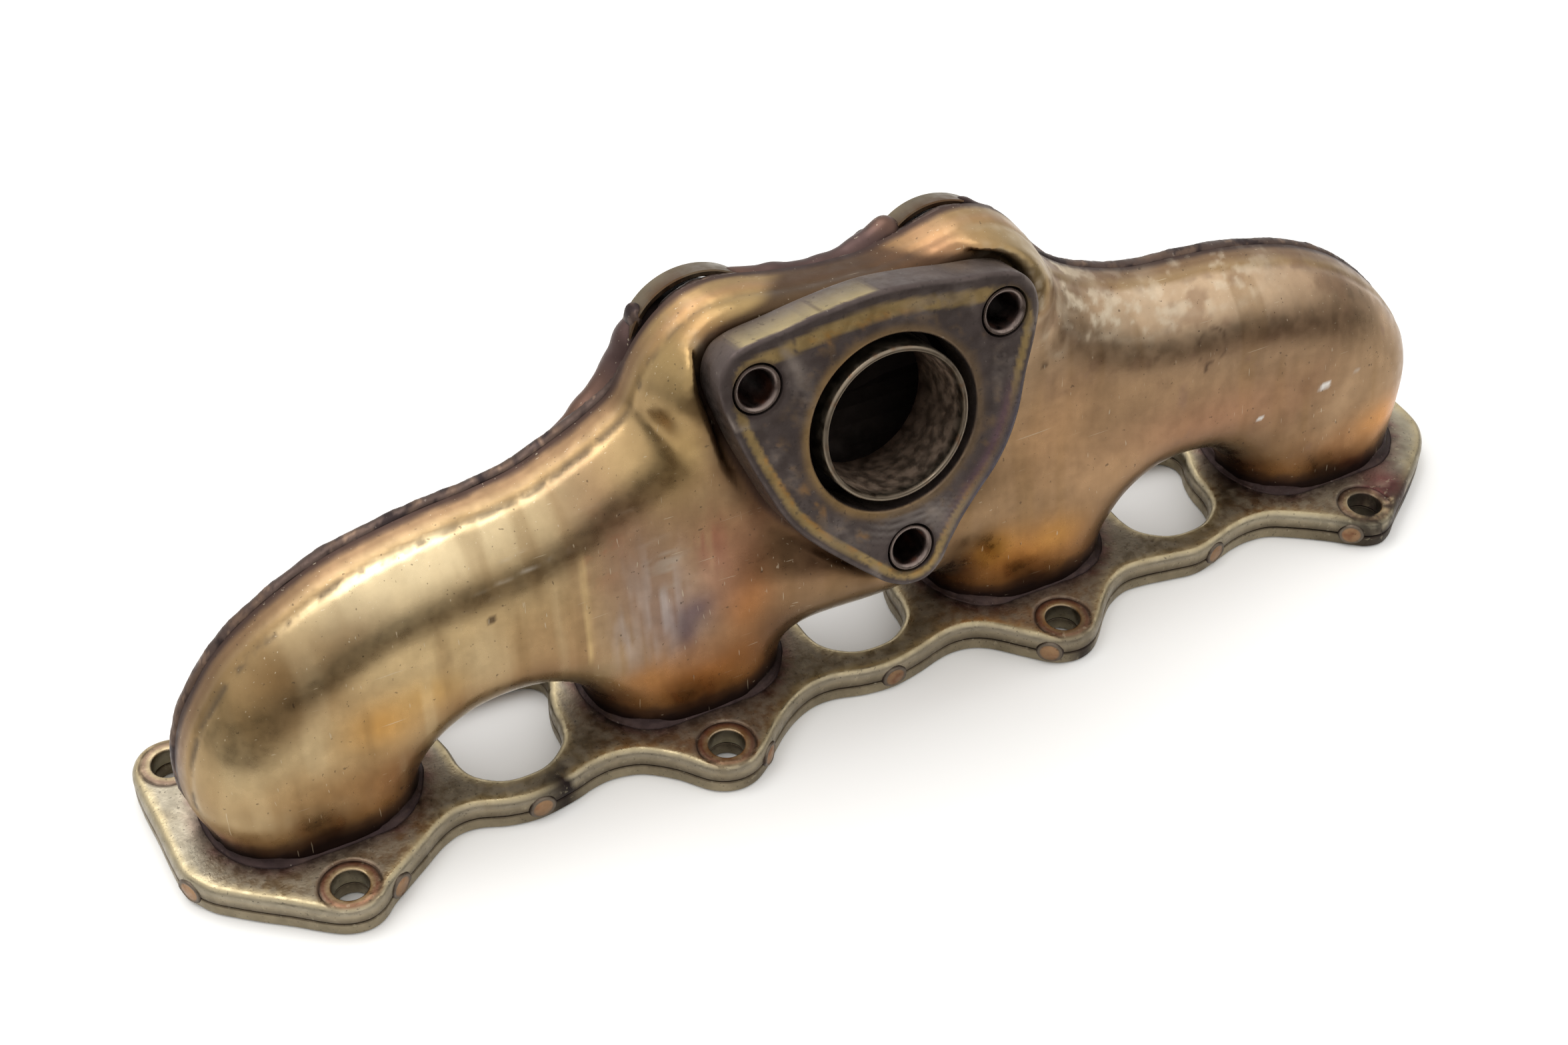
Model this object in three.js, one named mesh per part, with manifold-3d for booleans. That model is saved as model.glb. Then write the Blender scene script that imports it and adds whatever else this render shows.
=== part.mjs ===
// Fabricated four-port exhaust manifold: a laminated head flange of two plates,
// two stamped half shells welded edge to edge, a tilted three-bolt outlet flange
// and slip-fitted inner pipes with an air gap all round them.
// Millimetres.  X runs along the port row, Y away from the outlet, Z up from the
// head face.  While modelling, z = 0 is the top of the head flange and bolt 1 of the
// near row is at x = 0, y = 0.  The last lines move the origin to the bottom centre.

import * as THREE from 'three';
import { mergeVertices } from 'three/addons/utils/BufferGeometryUtils.js';
import Module from 'manifold-3d';

const wasm = await Module();
wasm.setup();

// ---- driving dimensions ----------------------------------------------------
const GAP = 0.3;                 // air between neighbouring pieces
const WALL = 1.8;                // stamped shell thickness

const PLATE_TOP_T = 5.0;         // upper flange plate
const PLATE_LOW_T = 3.7;         // lower flange plate
const PLATE_SEAM = 0.3;          // gap between the two plates
const FLANGE_T = PLATE_TOP_T + PLATE_SEAM + PLATE_LOW_T;

const PORT_X = [1.7, 101.7, 201.0, 299.0];
const PORT_Y = 33;
const PORT_W = 55;               // shell leg, outside
const SHELL_R = 19.8;            // half depth of the shell in front of the joint plane
const REAR_Y = 53;               // the rear wall stands upright here
const FLAT = 0.1;
const EDGE_R = 15.4;             // how far in from the joint line the rounding reaches
const SEAM_BEAD = 1.5;           // the edge weld stands this far out all round
const LEAN = 0.12;               // the joint plane leans back by this per mm of height

const WINDOW_X = [51.2, 150.6, 249.6];
// half of one window, near end first: half width, y
const WINDOW_SIDE = [[4.5, 14.4], [9.2, 17], [12.4, 20.6], [13.7, 25], [14.1, 31], [15.4, 36.5],
  [17.2, 41], [17, 44.6], [14.4, 47.6], [8, 49]];

const NEAR_BOLTS = [[0, 0], [100, 0], [200, 0], [300, 0]];
const FAR_BOLTS = [[-26.8, 56.9], [51, 61.8], [150.6, 61.8], [249.6, 61.8], [327.5, 56.9]];
const BOLT_R = 4.6;              // clearance for 8 mm studs

const OUT_C = [151.5, 11.3, 77.3];       // centre of the outlet face
const OUT_N = [0.013, -0.9687, 0.2480];  // outward normal of the outlet face
const OUT_T = 12;                        // outlet flange thickness
const OUT_BORE = 23.1;
const GAS_HOLE_R = OUT_BORE + 1.2;       // opening in the shell behind the outlet flange
const PAD_INSET = 2.5;                   // the shell's pad stays inside the flange outline
const PAD_DEPTH = 28;                    // from the outlet face to the back of the pad
const POCKET_CLEAR = 1.4;                // the dents round the flange ears
const BELLY_C = [151.5, 26, 29];         // swelling of the shell under the lower ear
const BELLY_R = [38, 15, 15];
const LINER_R = 20.2;
const LINER_WALL = 1.6;
const LINER_PROUD = 1.1;
const LINER_LEN = 21;
const OUT_BOLTS = [[-34.8, 20.6], [32.6, 19.5], [1.1, -35.4]];
const SLEEVE_R = 6.2;
const SLEEVE_BORE = 4.4;
const SLEEVE_LEN = [42, 42, 22];
const SLEEVE_HOLE_PAST = 20;             // the shell's holes run on behind the sleeves
const HOOP_R = 19.2;
const HOOP_WALL = 1.6;
const HOOP_FROM = 30.5;          // distance behind the outlet face
const HOOP_LEN = 6.5;

// inner pipes, slipped into each other so that they can grow with heat
const PIPE_R = 12;
const PIPE_WALL = 1.2;
const PIPE_Y = 36.5;
const PIPE_Z = 54;
const SLIP = 0.4;
const FOOT_GAP = 1.2;            // between a runner's foot and the lower plate
const RUNNER_REACH = 86;         // from port 1 or 4 to the end of its runner
const SOCKET_DEPTH = 5;
const CHAMBER_R = [34, 12.8, 24];        // collector chamber behind the outlet
const CHAMBER_BACK = 0.9;                // its centre lies this far behind the pipes
const CHAMBER_Z = 62;
const STUB_FROM = 14;                    // the chamber's stub round the liner
const STUB_TO = 31;
const CUT_PAST = 5;                      // a hollow runs on past the ends of its pipe

// near edge of the head flange, left to right, then the far edge back again
const NEAR_EDGE = [
  [-35, 22], [-33.2, 17.8], [-30.5, 13.6], [-25.7, 9.3], [-21.1, 5.6], [-14.5, 0.7], [-8.6, -4.1],
  [-4.6, -6.8], [-0.6, -8.1], [2.9, -8], [6, -6.6], [9.3, -3.7], [13.3, -1], [20.3, 3.7],
  [26.2, 7.6], [31, 9.4], [35.7, 9.3], [43.4, 6.5], [51, 5.3], [61.4, 6.8], [66.7, 8.3],
  [71.6, 8.9], [76, 8.3], [79.9, 6.9], [86.7, 1.5], [92.7, -5.5], [96.3, -7.8], [100.4, -8.7],
  [104.4, -8], [109, -5.2], [113.4, -1.2], [118.9, 3.2], [124.3, 6.3], [129.6, 8], [135.1, 8],
  [143.6, 5.8], [151.6, 5], [160.8, 6.5], [166.3, 8], [171.3, 8.8], [176.6, 8.1], [181, 5.8],
  [188.2, -1.3], [193.6, -6.5], [197.2, -8.1], [201.5, -8.5], [206, -7], [210.4, -3.3],
  [214, 0.5], [219.3, 5], [225.7, 7.6], [231.7, 7.4], [240, 5.9], [247.5, 4.8], [256.6, 6.8],
  [262.1, 8.3], [267.5, 8.9], [273.5, 8.2], [279.8, 4.8], [288.2, -1.1], [293.6, -5.6],
  [297, -7.8], [301, -8.4], [305, -6.8], [309.1, -3.6], [318.9, 3.4], [326.2, 9],
  [331.6, 13.8], [335, 18.4], [336.8, 23.6]];
const FAR_EDGE = [
  [337.2, 34], [337.2, 54], [336.6, 59.2], [334.6, 62.9], [331.4, 65.3], [327.5, 66], [323.4, 65.3],
  [315, 62.6], [304, 61], [290, 60.9], [274, 61.8], [264, 65.2], [256.5, 69.2], [249.5, 70.4],
  [242.5, 69.2], [235, 65.2], [225, 61.8], [201, 60.9], [177, 62.2], [166, 65.8], [158, 69.6],
  [150.7, 70.6], [143.4, 69.6], [135.4, 65.8], [124.4, 62.2], [101.5, 60.9], [76, 61.8], [66, 65.2],
  [58, 69.2], [51, 70.4], [44, 69.2], [36, 65.2], [26, 61.8], [10.6, 60.9], [-3.4, 61], [-14.4, 62.6],
  [-22.8, 65.3], [-26.8, 66], [-30.8, 65.3], [-34, 62.9], [-36, 59.2], [-36.6, 54], [-36, 40]];

// silhouette of the stamped body in its own joint plane: x, height above the flange
const LEG_FOOT = -30;
const BODY_TOP = [
  [-25.6, LEG_FOOT], [-25.6, -8], [-25.6, 1.5], [-26.4, 4.4], [-28, 8.6], [-29, 13.5], [-29.1, 18.5],
  [-28.5, 23.5], [-27, 29.5], [-24.5, 35.5], [-20.6, 41.3], [-15.8, 47.4], [-10, 52.6], [-2.6, 57.5],
  [6, 61.9], [15, 65.6], [27, 68.4], [40, 70.5], [54, 71.9], [64, 73.7], [73.5, 77.3], [84, 82.2],
  [92.2, 87.6], [96.6, 93], [101, 98.4], [106, 102.9], [112, 106], [118.6, 107], [125.5, 106],
  [133, 103.6], [142, 101.6], [151.5, 101], [161, 101.8], [170, 103.4], [178, 105.8], [184.4, 107],
  [190.6, 106], [196.4, 103], [201.4, 98.6], [206.4, 92.8], [211.6, 87.4], [218.5, 82.4],
  [228.5, 78], [240, 74.8], [254, 73.4], [268, 71.8], [280, 69.3], [292, 65.6], [303, 60.3],
  [311.7, 54.2], [318.4, 48.2], [324, 41.6], [328, 35.3], [330, 28.5], [330.3, 22], [329.4, 15.5],
  [328.2, 9], [327.1, 4.4], [326.5, 1.5], [326.5, -8], [326.5, LEG_FOOT]];
const ARCHES = [
  [[271.5, LEG_FOOT], [271.5, -8], [271.5, 3.4], [269, 7.4], [264.8, 11.6], [258.4, 15],
    [250, 16.2], [241.6, 15.2], [235, 11.6], [231, 7.4], [228.5, 3.4], [228.5, -8],
    [228.5, LEG_FOOT]],
  [[173.5, LEG_FOOT], [173.5, -8], [173.5, 3.4], [171.4, 7], [166.6, 10.8], [159.5, 13.2],
    [151.3, 13.9], [143.2, 13.2], [136, 10.8], [131.3, 7], [129.2, 3.4], [129.2, -8],
    [129.2, LEG_FOOT]],
  [[74.2, LEG_FOOT], [74.2, -8], [74.2, 3.4], [72, 7.4], [67.8, 11.6], [60.8, 15],
    [52, 16.2], [43.4, 15.2], [36, 11.6], [31.4, 7.4], [29.2, 3.4], [29.2, -8],
    [29.2, LEG_FOOT]]];

// outlet flange outline in its own plane (u to the right, v up)
const OUT_SHAPE = [
  [-44.4, 21.5], [-43.4, 26.6], [-40.6, 30.3], [-36.2, 32.0], [-27.8, 33.0], [-17.3, 34.3],
  [-6.6, 35.1], [0.4, 35.1], [11.0, 33.8], [21.8, 31.8], [32.2, 30.1], [37.8, 28.2], [41.4, 24.2],
  [42.7, 18.9], [41.2, 11.4], [37.9, 1.7], [35.0, -8.2], [31.8, -15.1], [27.5, -21.2],
  [21.6, -27.2], [16.6, -32.6], [12.4, -38.3], [9.6, -42.6], [5.2, -45.6], [-0.7, -45.8],
  [-5.9, -43.3], [-10.9, -38.9], [-16.9, -33.2], [-23.6, -26.4], [-28.6, -20.4], [-31.9, -15.2],
  [-35.2, -7.6], [-38.9, 1.6], [-42.3, 12.2]];

// copper-coloured weld buttons along the edge of the plates
const EDGE_WELDS = [
  [-33.4, 19.2], [11.2, -1.4], [51.5, 6.9], [108.9, -3.7], [151.5, 6.2], [193.8, -4.7],
  [254, 8.1], [293.6, -3.6],
  [-10, 61.8], [26, 61.8], [101.5, 60.9], [201, 60.9], [274, 61.8], [310, 61.8]];
const EDGE_WELD_R = 4.2;
const EDGE_WELD_PROUD = 1.0;
const EDGE_WELD_SINK = 2;

// ---- materials ---------------------------------------------------------------
const LOOKS = {
  shell: [0x9a7a45, 0.34, 1.0],
  plate: [0x7d7766, 0.45, 1.0],
  outlet: [0x5d5552, 0.6, 0.8],
  sleeve: [0x4a4442, 0.5, 0.9],
  liner: [0x8b8472, 0.45, 0.9],
  weld: [0x4c3733, 0.55, 0.8],
  button: [0x9c6a48, 0.4, 0.9],
  hoop: [0x77705c, 0.45, 0.9],
};

// ---- helpers -------------------------------------------------------------------
const group = new THREE.Group();
group.name = 'exhaust_manifold';

function add(name, geometry, look) {
  const [color, roughness, metalness] = LOOKS[look];
  const g = geometry.index ? geometry.toNonIndexed() : geometry;
  g.computeVertexNormals();
  const mesh = new THREE.Mesh(g, new THREE.MeshStandardMaterial({ color, roughness, metalness }));
  mesh.name = name;
  group.add(mesh);
}

function toSolid(geometry) {
  const g = geometry.clone();
  for (const key of Object.keys(g.attributes)) {
    if (key !== 'position') g.deleteAttribute(key);
  }
  const m = mergeVertices(g, 1e-4);
  return new wasm.Manifold(new wasm.Mesh({
    numProp: 3,
    vertProperties: new Float32Array(m.attributes.position.array),
    triVerts: new Uint32Array(m.index.array),
  }));
}

function toGeometry(solid) {
  const mesh = solid.getMesh();
  const g = new THREE.BufferGeometry();
  g.setAttribute('position', new THREE.BufferAttribute(mesh.vertProperties, 3));
  g.setIndex(new THREE.BufferAttribute(mesh.triVerts, 1));
  return g;
}

const vec2 = (points) => points.map(([x, y]) => new THREE.Vector2(x, y));

function circlePath(cx, cy, r, n) {
  const pts = [];
  for (let i = 0; i < n; i += 1) {
    const a = (i / n) * 2 * Math.PI;
    pts.push([cx + r * Math.cos(a), cy + r * Math.sin(a)]);
  }
  return pts;
}

// rectangle w by d whose corners are quarter ellipses rx by ry
function slotPath(cx, cy, w, d, rx, ry, n) {
  const pts = [];
  for (let i = 0; i < n; i += 1) {
    const a = ((i + 0.5) / n) * 2 * Math.PI;
    const c = Math.cos(a);
    const s = Math.sin(a);
    pts.push([cx + Math.sign(c) * (w / 2 - rx) + rx * c, cy + Math.sign(s) * (d / 2 - ry) + ry * s]);
  }
  return pts;
}

// move a closed outline outwards (or inwards when d is negative)
function offset(points, d) {
  const turn = THREE.ShapeUtils.area(vec2(points)) > 0 ? 1 : -1;
  return points.map((p, i) => {
    const a = points[(i + points.length - 1) % points.length];
    const b = points[(i + 1) % points.length];
    const t = new THREE.Vector2(b[0] - a[0], b[1] - a[1]).normalize();
    return [p[0] + turn * d * t.y, p[1] - turn * d * t.x];
  });
}

function extrude(points, holes, from, to) {
  const shape = new THREE.Shape(vec2(points));
  holes.forEach((h) => shape.holes.push(new THREE.Path(vec2(h))));
  const g = new THREE.ExtrudeGeometry(shape, { depth: to - from, bevelEnabled: false });
  g.translate(0, 0, from);
  return g;
}

// frame of the outlet face: u to the right, v up, s backwards into the body
const outN = new THREE.Vector3(...OUT_N).normalize();
const outU = new THREE.Vector3(0, 0, 1).cross(outN).normalize();
const outV = new THREE.Vector3().crossVectors(outN, outU);
const outFrame = new THREE.Matrix4().makeBasis(outU, outV, outN).setPosition(...OUT_C);
const onOutlet = (g) => g.applyMatrix4(outFrame);

// ring or disc around the outlet normal, from depth s0 to s1 behind the face
function outletRing(u, v, rOut, rIn, s0, s1, n) {
  const holes = rIn > 0 ? [circlePath(u, v, rIn, n)] : [];
  return onOutlet(extrude(circlePath(u, v, rOut, n), holes, -s1, -s0));
}

// closed solid through a row of equal rings, capped at both ends
function loft(rings) {
  const n = rings[0].length;
  const pos = rings.flat(2);
  const idx = [];
  for (let r = 0; r + 1 < rings.length; r += 1) {
    for (let i = 0; i < n; i += 1) {
      const a = r * n + i;
      const b = r * n + ((i + 1) % n);
      idx.push(a, b, a + n, b, b + n, a + n);
    }
  }
  for (let i = 1; i + 1 < n; i += 1) {
    const e = (rings.length - 1) * n;
    idx.push(0, i + 1, i, e, e + i, e + i + 1);
  }
  return faceOut(pos, idx);
}

// closed ring-shaped solid: the last ring joins the first
function loop(rings) {
  const n = rings[0].length;
  const idx = [];
  rings.forEach((_, r) => {
    const q = ((r + 1) % rings.length) * n;
    for (let i = 0; i < n; i += 1) {
      const j = (i + 1) % n;
      idx.push(r * n + i, r * n + j, q + i, r * n + j, q + j, q + i);
    }
  });
  return faceOut(rings.flat(2), idx);
}

function faceOut(pos, idx) {
  let volume = 0;
  const at = (k) => new THREE.Vector3(pos[3 * k], pos[3 * k + 1], pos[3 * k + 2]);
  for (let t = 0; t < idx.length; t += 3) {
    volume += at(idx[t]).dot(at(idx[t + 1]).cross(at(idx[t + 2])));
  }
  const g = new THREE.BufferGeometry();
  g.setAttribute('position', new THREE.Float32BufferAttribute(pos, 3));
  g.setIndex(volume < 0 ? idx.slice().reverse() : idx);
  return g;
}

// ---- head flange plates -----------------------------------------------------------
// outline of a shell leg at the flange, grow mm outside it
const portPath = (x, grow) => slotPath(x, PORT_Y, PORT_W - 2 * SEAM_BEAD + 2 * grow,
  2 * (SHELL_R + FLAT + grow), EDGE_R + grow, SHELL_R + FLAT + grow, 24);

function windowPath(x) {
  const right = WINDOW_SIDE.map(([h, y]) => [x + h, y]);
  const left = WINDOW_SIDE.map(([h, y]) => [x - h, y]).reverse();
  return [...right, ...left];
}

const BOLTS = [...NEAR_BOLTS, ...FAR_BOLTS];

function plate(z0, z1, portGrow) {
  const holes = PORT_X.map((x) => portPath(x, portGrow));
  WINDOW_X.forEach((x) => holes.push(windowPath(x)));
  BOLTS.forEach(([x, y]) => holes.push(circlePath(x, y, BOLT_R, 14)));
  return extrude([...NEAR_EDGE, ...FAR_EDGE], holes, z0, z1);
}

const lowTop = -PLATE_TOP_T - PLATE_SEAM;
add('upper_plate', plate(-PLATE_TOP_T, 0, GAP), 'plate');
add('lower_plate', plate(-FLANGE_T, lowTop, -WALL), 'plate');

// ---- stamped body -------------------------------------------------------------------
const leanAt = (z) => PORT_Y + LEAN * Math.max(0, z);

// lean the joint plane back and stand the rear wall upright
function settle(g, grow) {
  const p = g.attributes.position;
  const deep = SHELL_R + FLAT - grow;
  for (let i = 0; i < p.count; i += 1) {
    const joint = leanAt(p.getZ(i));
    const y = p.getY(i);
    const scale = y > 0 ? (REAR_Y - grow - joint) / deep : 1;
    p.setY(i, joint + y * scale);
  }
  return g;
}

// outline filled out to a cushion with elliptical edges, grow mm inside the outer skin
function cushion(points, grow, steps) {
  const shape = new THREE.Shape(vec2(points));
  const g = new THREE.ExtrudeGeometry(shape, {
    depth: 2 * FLAT,
    steps: 1,
    bevelEnabled: true,
    bevelSize: EDGE_R - grow,
    bevelThickness: SHELL_R - grow,
    bevelOffset: -EDGE_R - SEAM_BEAD,
    bevelSegments: steps,
  });
  g.translate(0, 0, -FLAT);
  g.rotateX(Math.PI / 2);
  return settle(g, grow);
}

const bodyOutline = [...BODY_TOP, ...ARCHES.flat()];

// pad behind the outlet flange, a belly under its lower ear and the two ear pockets
const PAD_FROM = OUT_T + GAP;
const prism = (grow, s0, s1) => toSolid(onOutlet(extrude(offset(OUT_SHAPE, grow), [], -s1, -s0)));
const pad = (grow) => prism(-PAD_INSET - grow, PAD_FROM + grow, PAD_DEPTH);
const pocket = (grow) => prism(POCKET_CLEAR + grow, -30, PAD_FROM + grow);

function belly(grow) {
  const g = new THREE.SphereGeometry(1, 14, 8);
  g.scale(...BELLY_R.map((r) => r - grow));
  g.translate(...BELLY_C);
  return toSolid(g);
}

const slab = (z0, z1) => toSolid(extrude([[-80, -80], [400, -80], [400, 160], [-80, 160]], [], z0, z1));

function bodySolid(grow) {
  return toSolid(cushion(bodyOutline, grow, 3))
    .add(belly(grow))
    .add(pad(grow))
    .subtract(pocket(grow));
}

// half space in front of (-1) or behind (+1) the joint plane
function half(side) {
  const y = PORT_Y + side * GAP / 2;
  const far = side * 200;
  const pts = [[far, -60], [y, -60], [y, 0], [y + LEAN * 160, 160], [far, 160]];
  const g = extrude(pts, [], -100, 400);
  g.applyMatrix4(new THREE.Matrix4().set(0, 0, 1, 0, 1, 0, 0, 0, 0, 1, 0, 0, 0, 0, 0, 1));
  return toSolid(g);
}

const gasHole = toSolid(outletRing(0, 0, GAS_HOLE_R, 0, 0, PAD_DEPTH - 4, 32));
const sleeveHoles = OUT_BOLTS.map(([u, v], i) => (
  toSolid(outletRing(u, v, SLEEVE_R + GAP, 0, 0, SLEEVE_LEN[i] + SLEEVE_HOLE_PAST, 16))));

let shell = bodySolid(0)
  .subtract(bodySolid(WALL))
  .subtract(slab(-80, lowTop + GAP))
  .subtract(gasHole);
sleeveHoles.forEach((h) => { shell = shell.subtract(h); });

const biggest = (solid) => solid.decompose().sort((a, b) => b.volume() - a.volume())[0];
add('front_shell', toGeometry(biggest(shell.intersect(half(-1)))), 'shell');
add('rear_shell', toGeometry(biggest(shell.intersect(half(1)))), 'shell');

// ---- outlet flange, sleeves, hoops and liner ------------------------------------------
const outHoles = [circlePath(0, 0, OUT_BORE, 36)];
OUT_BOLTS.forEach(([u, v]) => outHoles.push(circlePath(u, v, SLEEVE_R + GAP, 16)));
add('outlet_flange', onOutlet(extrude(OUT_SHAPE, outHoles, -OUT_T, 0)), 'outlet');
OUT_BOLTS.forEach(([u, v], i) => {
  add(`outlet_sleeve_${i + 1}`, outletRing(u, v, SLEEVE_R, SLEEVE_BORE, 0.1, SLEEVE_LEN[i], 16), 'sleeve');
});
add('outlet_liner', outletRing(0, 0, LINER_R, LINER_R - LINER_WALL, -LINER_PROUD, LINER_LEN, 36), 'liner');

['rear_hoop_left', 'rear_hoop_right'].forEach((name, i) => {
  const [u, v] = OUT_BOLTS[i];
  const ring = toSolid(outletRing(u, v, HOOP_R, HOOP_R - HOOP_WALL, HOOP_FROM, HOOP_FROM + HOOP_LEN, 32));
  add(name, toGeometry(biggest(ring.subtract(bodySolid(-GAP)))), 'hoop');
});

// ---- inner pipes ----------------------------------------------------------------------------
// one section of a pipe: centre, tilt of its run from upright, width, depth and corner radii
const PIPE_SIDES = 16;
function section([x, y, z, tilt, w, d, rx, ry], thinner) {
  const a = THREE.MathUtils.degToRad(tilt);
  const path = slotPath(0, 0, w - 2 * thinner, d - 2 * thinner, rx - thinner, ry - thinner, PIPE_SIDES);
  return path.map(([p, q]) => [x + p * Math.cos(a), y + q, z - p * Math.sin(a)]);
}

const FOOT = [PORT_W - 2 * SEAM_BEAD - 2 * WALL - 2 * FOOT_GAP, 2 * (SHELL_R + FLAT - WALL - FOOT_GAP),
  EDGE_R - WALL - FOOT_GAP, SHELL_R + FLAT - WALL - FOOT_GAP];
const ROUND = [2 * PIPE_R, 2 * PIPE_R, PIPE_R, PIPE_R];
const footRuns = (x) => [
  [x, PORT_Y, -FLANGE_T + GAP, 0, ...FOOT],
  [x, PORT_Y, -3, 0, ...FOOT],
  [x, PORT_Y + 0.6, 7, 0, 40, 31, 14, 15.4]];

function pipe(sections) {
  const long = sections.map((s) => [...s]);
  const run = (k, from) => long[k].slice(0, 3).map((c, i) => 1.2 * c - 0.2 * long[from][i]);
  long[0].splice(0, 3, ...run(0, 1));
  long[long.length - 1].splice(0, 3, ...run(long.length - 1, long.length - 2));
  const outside = toSolid(loft(sections.map((s) => section(s, 0))));
  const inside = toSolid(loft(long.map((s) => section(s, PIPE_WALL))));
  return outside.subtract(inside);
}

// outer runners bend over towards the middle; inner runners rise straight
function outerRunner(x, towards) {
  return [...footRuns(x),
    [x + 1.5 * towards, 34.2, 18, 8 * towards, 31, 27, 13.2, 13.4],
    [x + 6.5 * towards, 35.2, 31, 30 * towards, ...ROUND],
    [x + 18 * towards, 36, 44, 54 * towards, ...ROUND],
    [x + 36 * towards, PIPE_Y, 52.6, 78 * towards, ...ROUND],
    [x + 56 * towards, PIPE_Y, PIPE_Z, 90 * towards, ...ROUND],
    [x + RUNNER_REACH * towards, PIPE_Y, PIPE_Z, 90 * towards, ...ROUND]];
}
const innerRunner = (x) => [...footRuns(x), [x, 34.4, 17, 0, 29, 26, 13, 13],
  [x, 35.2, 26, 0, ...ROUND], [x, PIPE_Y, 42, 0, ...ROUND]];

const RUNNERS = [outerRunner(PORT_X[0], 1), innerRunner(PORT_X[1]), innerRunner(PORT_X[2]),
  outerRunner(PORT_X[3], -1)];
RUNNERS.forEach((sections, i) => add(`inner_runner_${i + 1}`, toGeometry(pipe(sections)), 'liner'));

// log with a socket for every runner, a middle chamber and a stub round the liner
function collector(thinner) {
  const r = PIPE_R + SLIP + PIPE_WALL - thinner;
  const past = thinner > 0 ? CUT_PAST : 0;
  const round = [2 * r, 2 * r, r, r];
  const reach = RUNNER_REACH - SOCKET_DEPTH - past;
  const ends = [PORT_X[0] + reach, PORT_X[3] - reach];
  let solid = toSolid(loft(ends.map((x) => section([x, PIPE_Y, PIPE_Z, 90, ...round], 0))));
  PORT_X.slice(1, 3).forEach((x) => {
    const run = [[x, PIPE_Y - 0.4, 34 - past, 0, ...round], [x, PIPE_Y, PIPE_Z, 0, ...round]];
    solid = solid.add(toSolid(loft(run.map((s) => section(s, 0)))));
  });
  const chamber = new THREE.SphereGeometry(1, 12, 8);
  chamber.scale(...CHAMBER_R.map((half) => half - thinner));
  chamber.translate(OUT_C[0], PIPE_Y + CHAMBER_BACK, CHAMBER_Z);
  const stub = outletRing(0, 0, LINER_R + SLIP + PIPE_WALL - thinner, 0,
    STUB_FROM - past, STUB_TO - thinner, 20);
  return solid.add(toSolid(chamber)).add(toSolid(stub));
}
add('inner_collector', toGeometry(biggest(collector(0).subtract(collector(PIPE_WALL)))), 'liner');

// ---- welds ------------------------------------------------------------------------------
// bead round each leg where it meets the upper plate: distance from the leg, height
const WELD_SECTION = [[0.35, 0.3], [1.5, 0.3], [1.3, 1.1], [0.8, 1.9], [0.35, 2.2]];
PORT_X.forEach((x, i) => {
  const rings = WELD_SECTION.map(([out, z]) => (
    portPath(x, out).map(([px, py]) => [px, py + LEAN * z, z])));
  add(`port_weld_${i + 1}`, loop(rings), 'weld');
});

// edge weld along the joint line, from the left foot over the top to the right foot
const BEAD = [[-1.3, -1.7], [-1.3, 1.7], [0, 1.2], [0, -1.2]];
const BEAD_FOOT = 3.2;
function seamWeld() {
  const line = BODY_TOP.filter(([, z]) => z > BEAD_FOOT);
  line.unshift([BODY_TOP[0][0], BEAD_FOOT]);
  line.push([BODY_TOP[BODY_TOP.length - 1][0], BEAD_FOOT]);
  const rings = line.map(([x, z], i) => {
    const a = line[Math.max(i - 1, 0)];
    const b = line[Math.min(i + 1, line.length - 1)];
    const t = new THREE.Vector2(b[0] - a[0], b[1] - a[1]).normalize();
    return BEAD.map(([out, y]) => [x - out * t.y, leanAt(z) + y, z + out * t.x]);
  });
  return loft(rings);
}
add('seam_weld', toGeometry(biggest(toSolid(seamWeld()).subtract(bodySolid(-GAP)))), 'weld');

// domed buttons that lock the two plates together at their edge
function edgeNormal(x, y) {
  const edge = [...NEAR_EDGE, ...FAR_EDGE];
  let best = [Infinity, null, null];
  edge.forEach((a, i) => {
    const b = edge[(i + 1) % edge.length];
    const d = new THREE.Vector2(b[0] - a[0], b[1] - a[1]);
    const w = new THREE.Vector2(x - a[0], y - a[1]);
    const t = THREE.MathUtils.clamp(w.dot(d) / d.lengthSq(), 0, 1);
    const foot = new THREE.Vector2(a[0] + t * d.x, a[1] + t * d.y);
    const gap = foot.distanceTo(new THREE.Vector2(x, y));
    if (gap < best[0]) best = [gap, foot, new THREE.Vector2(d.y, -d.x).normalize()];
  });
  return best;
}

const plateBlock = toSolid(extrude(offset([...NEAR_EDGE, ...FAR_EDGE], GAP), [], -20, 10));

EDGE_WELDS.forEach(([x, y], i) => {
  const [, foot, normal] = edgeNormal(x, y);
  const r = EDGE_WELD_R;
  const profile = [[0, -EDGE_WELD_SINK], [r, -EDGE_WELD_SINK], [r, EDGE_WELD_PROUD / 2],
    [r * 0.7, EDGE_WELD_PROUD], [0, EDGE_WELD_PROUD + GAP]];
  const g = new THREE.LatheGeometry(profile.map(([a, b]) => new THREE.Vector2(a, b)), 12);
  g.rotateZ(Math.atan2(-normal.x, normal.y));
  g.translate(foot.x, foot.y, -FLANGE_T / 2);
  add(`edge_weld_${i + 1}`, toGeometry(biggest(toSolid(g).subtract(plateBlock))), 'button');
});

// ---- place the origin at the bottom centre -------------------------------------------------
group.updateMatrixWorld(true);
const box = new THREE.Box3().setFromObject(group);
const shift = new THREE.Vector3(-(box.min.x + box.max.x) / 2, -(box.min.y + box.max.y) / 2, -box.min.z);
group.position.copy(shift);

export default group;
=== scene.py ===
import math
from itertools import product

import bmesh
import bpy
import numpy as np
from mathutils import Matrix, Vector
from mathutils.geometry import delaunay_2d_cdt


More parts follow.
